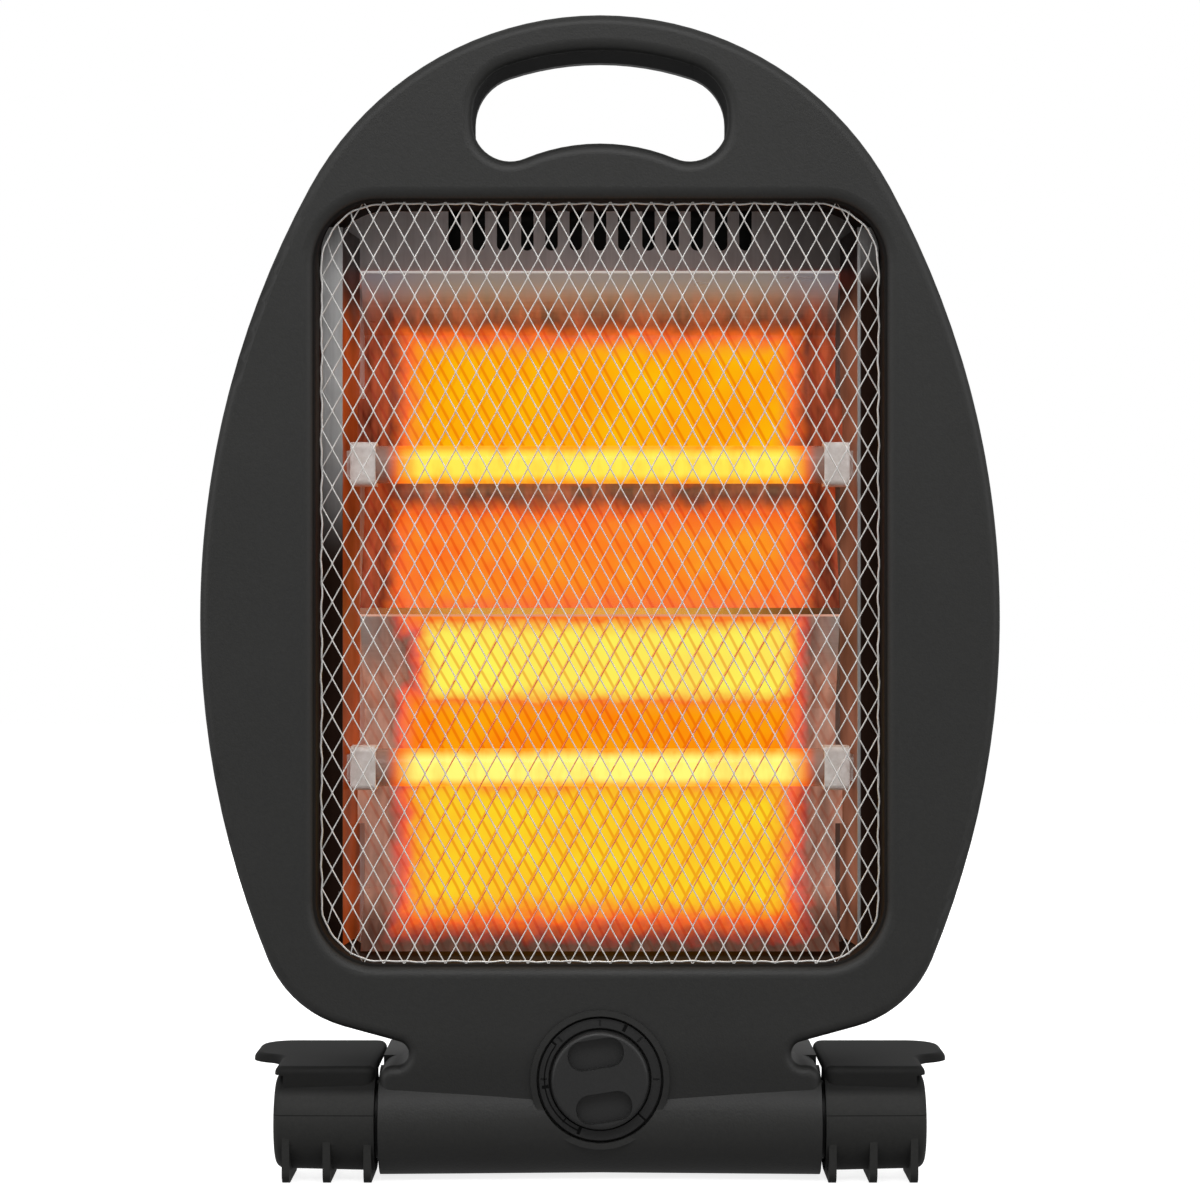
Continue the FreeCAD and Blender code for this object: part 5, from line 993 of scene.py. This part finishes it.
class HEATER_OT_coils(bpy.types.Operator):
    """Winds the heating wires."""

    bl_idname = "heater.coils"
    bl_label = "Coils"

    def execute(self, context):
        look = context.scene.heater_glow
        finish, tree, shader, place = new_finish("hot_wire")
        flicker = spread(tree, noise(tree, place, 90.0, 2.0), 0.3, 0.7)
        dress(
            tree, shader, Base_Color=(0.2, 0.1, 0.04, 1.0), Metallic=0.6, Roughness=0.5,
            Emission_Color=blended(tree, flicker, paint(255, 190, 60), paint(255, 236, 130)),
            Emission_Strength=look.strength * 1.2,
        )
        for row in TUBE_ROWS:
            node = "heating_coil_" + row
            low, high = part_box(node)
            wire = mesh_piece("hot_wire_" + row, *wound_wire(look, low, high), finish, "hot_wire")
            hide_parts(node)
        return {"FINISHED"}


class HEATER_OT_tubes(bpy.types.Operator):
    """Lights the quartz tubes."""

    bl_idname = "heater.tubes"
    bl_label = "Quartz Tubes"

    def execute(self, context):
        look = context.scene.heater_glow
        for row, core in (("upper", look.upper_tube), ("lower", look.lower_tube)):
            node = "quartz_tube_" + row
            low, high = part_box(node)
            radius = (high.z - low.z) / 2.0
            finish, tree, shader, place = new_finish("quartz_" + row)
            at = parts(tree, place)
            rise = away(tree, at["Z"], (low.z + high.z) / 2.0)
            mottle = noise(tree, stretched(tree, place, (150.0, 60.0, 60.0)), 1.0, 3.0, 0.6)
            edge = maths(
                tree, "ADD", spread(tree, rise, radius * 0.45, radius, 0.0, 0.85, smooth=True),
                spread(tree, mottle, 0.45, 0.8, 0.0, 0.45), clamp=True,
            )
            along = away(tree, at["X"], GLOW_MIDDLE)
            glow_share = spread(tree, along, *GLOW_ENDS, smooth=True)
            near_end = spread(tree, along, *GLOW_REDDENS, smooth=True)
            hue = blended(tree, edge, full(core), full(look.tube_edge))
            hue = blended(tree, near_end, hue, paint(243, 84, 16))
            dress(
                tree, shader, Emission_Color=blended(tree, glow_share, BLACK, hue), Emission_Strength=look.strength,
                Base_Color=blended(tree, glow_share, paint(186, 160, 150), (0.04, 0.02, 0.01, 1.0)), Roughness=0.15,
                Specular_IOR_Level=0.2, Alpha=spread(tree, glow_share, 0.0, 1.0, 0.55, 0.9),
            )
            wear((node,), finish)
        return {"FINISHED"}


class HEATER_OT_reflectors(bpy.types.Operator):
    """Polishes the reflectors and paints the tubes' glow on them."""

    bl_idname = "heater.reflectors"
    bl_label = "Reflectors"

    def execute(self, context):
        look = context.scene.heater_glow
        # Each row's colours: the ends' brown tint, the dim and bright ends of the painted glow at the ends
        # and round the patches, and the lip's painted highlight
        upper_colours = (paint(64, 30, 18), paint(74, 30, 18), full(look.glow_halo), paint(176, 172, 168))
        lower_colours = (
            paint(178, 152, 140), paint(112, 78, 65), paint(172, 120, 100), paint(216, 156, 130),
        )
        # Each row: share of painted glow at its ends, foot's height, share of the guard's second image, its
        # colours
        for row, end_glow_share, foot_height, second, colours in (
            ("upper", 1.0, 0.0, 0.35, upper_colours),
            ("lower", 0.8, 0.0785, 0.9, lower_colours),
        ):
            end_tint, dull, bright, lip_highlight = colours
            node = "reflector_" + row
            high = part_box(node)[1]
            finish, tree, shader, place = new_finish(node)
            sheet = sheet_on(tree, place, (14.0, 900.0, 900.0), (40.0, 90.0, 90.0), paint(202, 199, 197), 0.3)
            # The tubes' glow painted on the reflector as a painted reflection, one patch at a time
            glow = BLACK
            glow_fill = 0.0
            halo = 0.0
            for core, x, z, half_x, half_z, soft in GLOW_PATCHES[row]:
                patch = place_group(
                    tree, "Heat Patch", Place=place, Middle_X=x, Middle_Z=z, Half_Width=half_x,
                    Half_Height=half_z, Softness=soft, Core_Colour=full(getattr(look, core)),
                    Rim_Colour=full(look.glow_rim),
                )
                glow = blended(tree, 1.0, patch["Glow"], glow, "LIGHTEN")
                glow_fill = largest(tree, patch["Heat"], glow_fill)
                halo = largest(tree, patch["Halo"], halo)
            mottle = noise(tree, stretched(tree, place, (170.0, 40.0, 40.0)), 1.0, 3.0, 0.6)
            patchy = spread(tree, mottle, 0.35, 0.65, 1.0, 0.86)
            at = parts(tree, place)
            aside = product(
                tree, spread(tree, maths(tree, "ABSOLUTE", at["X"]), 0.066, 0.074),
                spread(tree, at["Z"], high.z - 0.008, high.z - 0.022),
            )
            foot = spread(tree, at["Z"], foot_height + 0.017, foot_height + 0.001, 0.0, 0.9, smooth=True)

            # Dim painted glow at the reflector's ends and round the patches
            glow_tint = blended(tree, spread(tree, mottle, 0.35, 0.7), dull, bright)
            dimly = product(
                tree, largest(tree, halo, product(tree, aside, end_glow_share)), maths(tree, "SUBTRACT", 1.0, glow_fill),
                spread(tree, foot, 0.0, 0.9, 1.0, 0.35),
            )
            glow = blended(tree, 1.0, glow, blended(tree, dimly, BLACK, glow_tint), "LIGHTEN")
            # Painted reflection and shadow of the guard's strands darken the glow in lines
            image = place_group(tree, "Guard Image", Place=place, Shift=0.3, Second_Way=second)
            glow = blended(tree, product(tree, image["Lines"], 0.5), glow, paint(232, 120, 30), "MULTIPLY")
            # Painted highlight along the top lip
            lip_highlight_share = spread(tree, at["Z"], high.z - 0.0009, high.z - 0.0005, 0.0, 0.7)
            glow = blended(tree, lip_highlight_share, glow, lip_highlight)

            # The ends take a brown tint, and the base turns dark brown under the painted halo
            colour = blended(tree, product(tree, aside, patchy), sheet["Colour"], end_tint)
            colour = blended(tree, product(tree, halo, patchy, 0.9), colour, paint(62, 28, 17))
            # The lower reflector darkens towards the bottom
            colour = blended(tree, foot, colour, paint(46, 30, 25))
            # The upper reflector is lighter and bluish towards the top
            if row == "upper":
                light_share = spread(tree, at["Z"], high.z - 0.011, high.z - 0.002, smooth=True)
                colour = blended(tree, light_share, colour, paint(196, 212, 232))
            # Under the painted glow the base is near black
            dress(
                tree, shader, Base_Color=blended(tree, glow_fill, colour, paint(8, 3, 1)),
                Roughness=sheet["Roughness"], Metallic=0.4, Specular_IOR_Level=0.05, Emission_Color=glow,
                Emission_Strength=look.strength,
            )
            bumped(tree, shader, sheet["Height"], 0.15, 0.0002)
            wear((node,), finish)
        return {"FINISHED"}


class HEATER_OT_pan(bpy.types.Operator):
    """Finishes the sheet-steel pan."""

    bl_idname = "heater.pan"
    bl_label = "Pan"

    def execute(self, context):
        look = context.scene.heater_glow
        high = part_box("chassis_pan")[1]
        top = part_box("reflector_upper")[1].z
        finish, tree, shader, place = new_finish("pan_steel")
        at = parts(tree, place)
        inner = spread(tree, at["Y"], high.y - 0.0012, high.y - 0.0009)
        ahead = spread(tree, at["Y"], high.y - 0.0003, high.y - 0.0005)
        shadow = spread(tree, at["X"], 0.020, 0.080, 0.0, 0.75, smooth=True)
        plain = blended(tree, shadow, paint(236, 237, 238), paint(70, 66, 64))
        tint = blended(tree, inner, paint(12, 11, 11), plain)
        tint = blended(tree, ahead, paint(98, 98, 96), tint)
        sheet = sheet_on(tree, place, UPRIGHT_STREAKS, EVEN_CLOUDS, tint, 0.45)
        # Painted glow: a thin dull red line just over the upper reflector's top
        seam_and_glow_line = product(
            tree, spread(tree, at["Z"], top + 0.0042, top + 0.0012, smooth=True),
            spread(tree, at["Z"], top - 0.004, top - 0.003), inner, ahead,
        )
        dress(
            tree, shader, Base_Color=sheet["Colour"], Roughness=spread(tree, inner, 0.0, 1.0, 0.85, 0.45),
            Metallic=0.25, Emission_Color=blended(tree, seam_and_glow_line, BLACK, paint(96, 28, 10)),
            Emission_Strength=look.strength,
        )
        bumped(tree, shader, sheet["Height"], 0.1, 0.0001)
        wear(("chassis_pan",), finish)
        return {"FINISHED"}


class HEATER_OT_side_plates(bpy.types.Operator):
    """Finishes the two side plates."""

    bl_idname = "heater.side_plates"
    bl_label = "Side Plates"

    def execute(self, context):
        look = context.scene.heater_glow
        # Each side: the heights between which painted light greys the plate's front over its painted-dark
        # rest, the most of that painted light, and the colour of the plate's painted glow
        for side, light_low, light_high, light_share, glow_tint in (
            ("left", 0.205, 0.262, 1.0, paint(150, 58, 16)),
            ("right", 0.300, 0.320, 0.6, paint(124, 76, 56)),
        ):
            node = "side_plate_" + side
            low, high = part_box(node)
            finish, tree, shader, place = new_finish("plate_steel_" + side)
            at = parts(tree, place)
            front = spread(tree, at["Y"], low.y + 0.0012, low.y + 0.0009)
            height_share = spread(tree, at["Z"], light_low, light_high, 0.0, light_share, smooth=True)
            bright = product(tree, height_share, front)
            # The right plate's fold takes painted light too
            if side == "right":
                fold = spread(tree, at["X"], high.x - 0.0060, high.x - 0.0064, 0.0, 0.8)
                bright = largest(tree, bright, product(tree, fold, front))
            tint = blended(tree, bright, paint(46, 32, 26), paint(196, 196, 196))
            sheet = sheet_on(tree, place, UPRIGHT_STREAKS, EVEN_CLOUDS, tint, 0.38)
            # Painted glow on the plate behind its front face, patchy by noise, under a height
            cloud = noise(tree, stretched(tree, place, (30.0, 30.0, 26.0)), 1.0, 2.0)
            glow_share = product(
                tree, spread(tree, cloud, 0.3, 0.7, 0.3, 1.0), maths(tree, "SUBTRACT", 1.0, front),
                spread(tree, at["Z"], 0.306, 0.286, smooth=True),
            )
            dress(
                tree, shader, Base_Color=sheet["Colour"], Roughness=sheet["Roughness"], Metallic=1.0,
                Emission_Color=blended(tree, glow_share, BLACK, glow_tint), Emission_Strength=look.strength,
            )
            bumped(tree, shader, sheet["Height"], 0.1, 0.0001)
            wear((node,), finish)
        return {"FINISHED"}


class HEATER_OT_fixings(bpy.types.Operator):
    """Finishes the screws, rivets, washers, springs and clips."""

    bl_idname = "heater.fixings"
    bl_label = "Fixings"

    def execute(self, context):
        zinc = rolled_metal("zinc_steel", srgb(178, 178, 174), 0.38, (700.0, 700.0, 700.0))
        wear(
            ("side_plate_rivets", "switch_shaft", "switch_screws", "thermal_cutout", "right_foot_washer",
             "left_foot_washer", "right_foot_screw", "left_foot_screw", "body_screws", "chassis_screws",
             "base_screws"),
            zinc,
        )
        spring = rolled_metal("spring_steel", srgb(170, 168, 164), 0.3, (900.0, 200.0, 900.0))
        wear(("cap_clips", "tip_switch_spring"), spring)
        dark = rolled_metal("black_spring_steel", srgb(46, 46, 46), 0.45, (900.0, 200.0, 900.0))
        wear(("right_spring_washer", "left_spring_washer"), dark)
        return {"FINISHED"}


class HEATER_OT_end_caps(bpy.types.Operator):
    """Finishes the ceramic end caps of the tubes."""

    bl_idname = "heater.end_caps"
    bl_label = "End Caps"

    def execute(self, context):
        finish, tree, shader, place = new_finish("steatite")
        cloud = noise(tree, place, 220.0, 4.0, 0.6)
        share = spread(tree, cloud, 0.35, 0.75)
        dress(
            tree, shader, Base_Color=blended(tree, share, paint(248, 245, 242), paint(214, 206, 200)),
            Roughness=0.75, Specular_IOR_Level=0.3,
        )
        bumped(tree, shader, cloud, 0.3, 0.0002)
        wear(["end_cap_%s_%s" % (row, side) for row in TUBE_ROWS for side in SIDES], finish)
        return {"FINISHED"}


class HEATER_OT_wiring(bpy.types.Operator):
    """Finishes the switches, the terminals and the leads inside."""

    bl_idname = "heater.wiring"
    bl_label = "Wiring"

    def execute(self, context):
        brass = rolled_metal("terminal_brass", srgb(196, 160, 92), 0.34, (500.0, 500.0, 500.0))
        wear(("tube_terminals",), brass)
        cream = moulded_plastic("inner_plastic", srgb(190, 184, 168), 1200.0, 0.00006, 0.5, 0.1, 0.4)
        wear(("rotary_switch", "tip_switch_housing", "tip_switch_plunger", "terminal_block"), cream)
        finish, tree, shader, place = new_finish("lead_sleeve")
        weave = add_node(tree, "ShaderNodeTexChecker")
        dress(
            tree, weave, Vector=place, Scale=1400.0, Color1=paint(222, 214, 198), Color2=paint(186, 176, 158),
        )
        dress(tree, shader, Base_Color=weave.outputs["Color"], Roughness=0.8)
        bumped(tree, shader, weave.outputs["Fac"], 0.4, 0.0001)
        wear(["lead_wire_%s_%s" % (row, side) for row in TUBE_ROWS for side in SIDES], finish)
        return {"FINISHED"}


class HEATER_OT_stage(bpy.types.Operator):
    """Sets the pale floor, the soft lights and the camera."""

    bl_idname = "heater.stage"
    bl_label = "Stage"

    def execute(self, context):
        look = context.scene.heater_stage
        scene = context.scene
        corners = np.array(((-4.0, -4.0, 0.0), (4.0, -4.0, 0.0), (4.0, 4.0, 0.0), (-4.0, 4.0, 0.0)))
        mesh = bpy.data.meshes.new("studio_floor")
        mesh.from_pydata(corners.tolist(), [], [[0, 1, 2, 3]])
        finish, tree, shader = new_finish("studio_floor")[:3]
        path = add_node(tree, "ShaderNodeLightPath")
        eye = path.outputs["Is Camera Ray"]
        shine = product(tree, path.outputs["Is Glossy Ray"], look.floor_shine)
        under = add_node(tree, "ShaderNodeNewGeometry").outputs["Backfacing"]
        dress(
            tree, shader, Base_Color=blended(tree, eye, (0.2, 0.2, 0.2, 1.0), (0.5, 0.5, 0.5, 1.0)),
            Roughness=0.9, Specular_IOR_Level=0.0,
            Emission_Color=blended(tree, largest(tree, eye, shine), BLACK, WHITE), Emission_Strength=0.82,
            Alpha=maths(tree, "SUBTRACT", 1.0, under),
        )
        mesh.materials.append(finish)
        floor = bpy.data.objects.new("studio_floor", mesh)
        scene.collection.objects.link(floor)

        world = bpy.data.worlds.new("studio_world")
        scene.world = world
        world.use_nodes = True
        sky = world.node_tree
        ray = add_node(sky, "ShaderNodeLightPath").outputs
        seen = largest(sky, ray["Is Camera Ray"], ray["Is Transmission Ray"])
        dress(
            sky, sky.nodes["Background"], Color=WHITE,
            Strength=spread(sky, seen, 0.0, 1.0, look.sky_light, 1.0),
        )

        # Each light: its name, place, aim, width, height and power
        lamps = (
            ("key_light", (0.0, -0.95, 1.05), (0.0, 0.0, 0.22), 1.2, 0.5, look.key_light),
            ("left_light", (-1.3, -0.7, 0.7), (0.0, 0.0, 0.2), 0.7, 1.2, look.side_light),
            ("right_light", (1.3, -0.7, 0.7), (0.0, 0.0, 0.2), 0.7, 1.2, look.side_light),
            ("back_light", (0.0, 1.3, 0.8), (0.0, 0.0, 0.2), 1.4, 0.9, look.back_light),
        )
        for name, spot, aim, wide, tall, power in lamps:
            data = bpy.data.lights.new(name, "AREA")
            data.shape = "RECTANGLE"
            data.size = wide
            data.size_y = tall
            data.energy = power
            lamp = bpy.data.objects.new(name, data)
            scene.collection.objects.link(lamp)
            way = np.array(aim) - np.array(spot)
            lamp.location = spot
            lamp.visible_glossy = name != "back_light"
            lamp.rotation_euler = (
                math.atan2(math.hypot(way[0], way[1]), -way[2]), 0.0, math.atan2(-way[0], way[1]),
            )

        data = bpy.data.cameras.new("photo_camera")
        data.sensor_fit = "HORIZONTAL"
        data.angle = look.camera_angle
        data.clip_start = 0.01
        data.dof.use_dof = False
        camera = bpy.data.objects.new("photo_camera", data)
        scene.collection.objects.link(camera)
        camera.location = (0.0, -look.camera_away, look.camera_height)
        camera.rotation_euler = (math.pi / 2.0, 0.0, 0.0)
        scene.camera = camera
        scene.view_settings.view_transform = "Standard"
        scene.view_settings.look = "None"
        return {"FINISHED"}


class HEATER_PT_looks(bpy.types.Panel):
    """Lists the heater's settings and the steps that make its looks."""

    bl_idname = "HEATER_PT_looks"
    bl_label = "Quartz Heater"
    bl_space_type = "VIEW_3D"
    bl_region_type = "UI"
    bl_category = "Heater"

    def draw(self, context):
        for name in SETTINGS:
            group = getattr(context.scene, name)
            for key in group.__annotations__:
                self.layout.prop(group, key)
        for step in STEPS:
            self.layout.operator(step.bl_idname)


SETTINGS = {
    "heater_body": HeaterBodyLook,
    "heater_guard": HeaterGuardLook,
    "heater_glow": HeaterGlowLook,
    "heater_stage": HeaterStageLook,
}
STEPS = (
    HEATER_OT_housing,
    HEATER_OT_feet,
    HEATER_OT_dial,
    HEATER_OT_guard,
    HEATER_OT_coils,
    HEATER_OT_tubes,
    HEATER_OT_reflectors,
    HEATER_OT_pan,
    HEATER_OT_side_plates,
    HEATER_OT_fixings,
    HEATER_OT_end_caps,
    HEATER_OT_wiring,
    HEATER_OT_stage,
)
CLASSES = tuple(SETTINGS.values()) + STEPS + (HEATER_PT_looks,)


def register():
    """Registers every class and puts the settings on the scene."""
    for item in CLASSES:
        bpy.utils.register_class(item)
    for name, group in SETTINGS.items():
        setattr(bpy.types.Scene, name, bpy.props.PointerProperty(type=group))


def unregister():
    """Takes the settings off the scene and removes every class."""
    for name in SETTINGS:
        delattr(bpy.types.Scene, name)
    for item in reversed(CLASSES):
        bpy.utils.unregister_class(item)


def main():
    register()
    bpy.ops.heater.housing()
    bpy.ops.heater.feet()
    bpy.ops.heater.dial()
    bpy.ops.heater.guard()
    bpy.ops.heater.coils()
    bpy.ops.heater.tubes()
    bpy.ops.heater.reflectors()
    bpy.ops.heater.pan()
    bpy.ops.heater.side_plates()
    bpy.ops.heater.fixings()
    bpy.ops.heater.end_caps()
    bpy.ops.heater.wiring()
    bpy.ops.heater.stage()


if __name__ == "__main__":
    main()
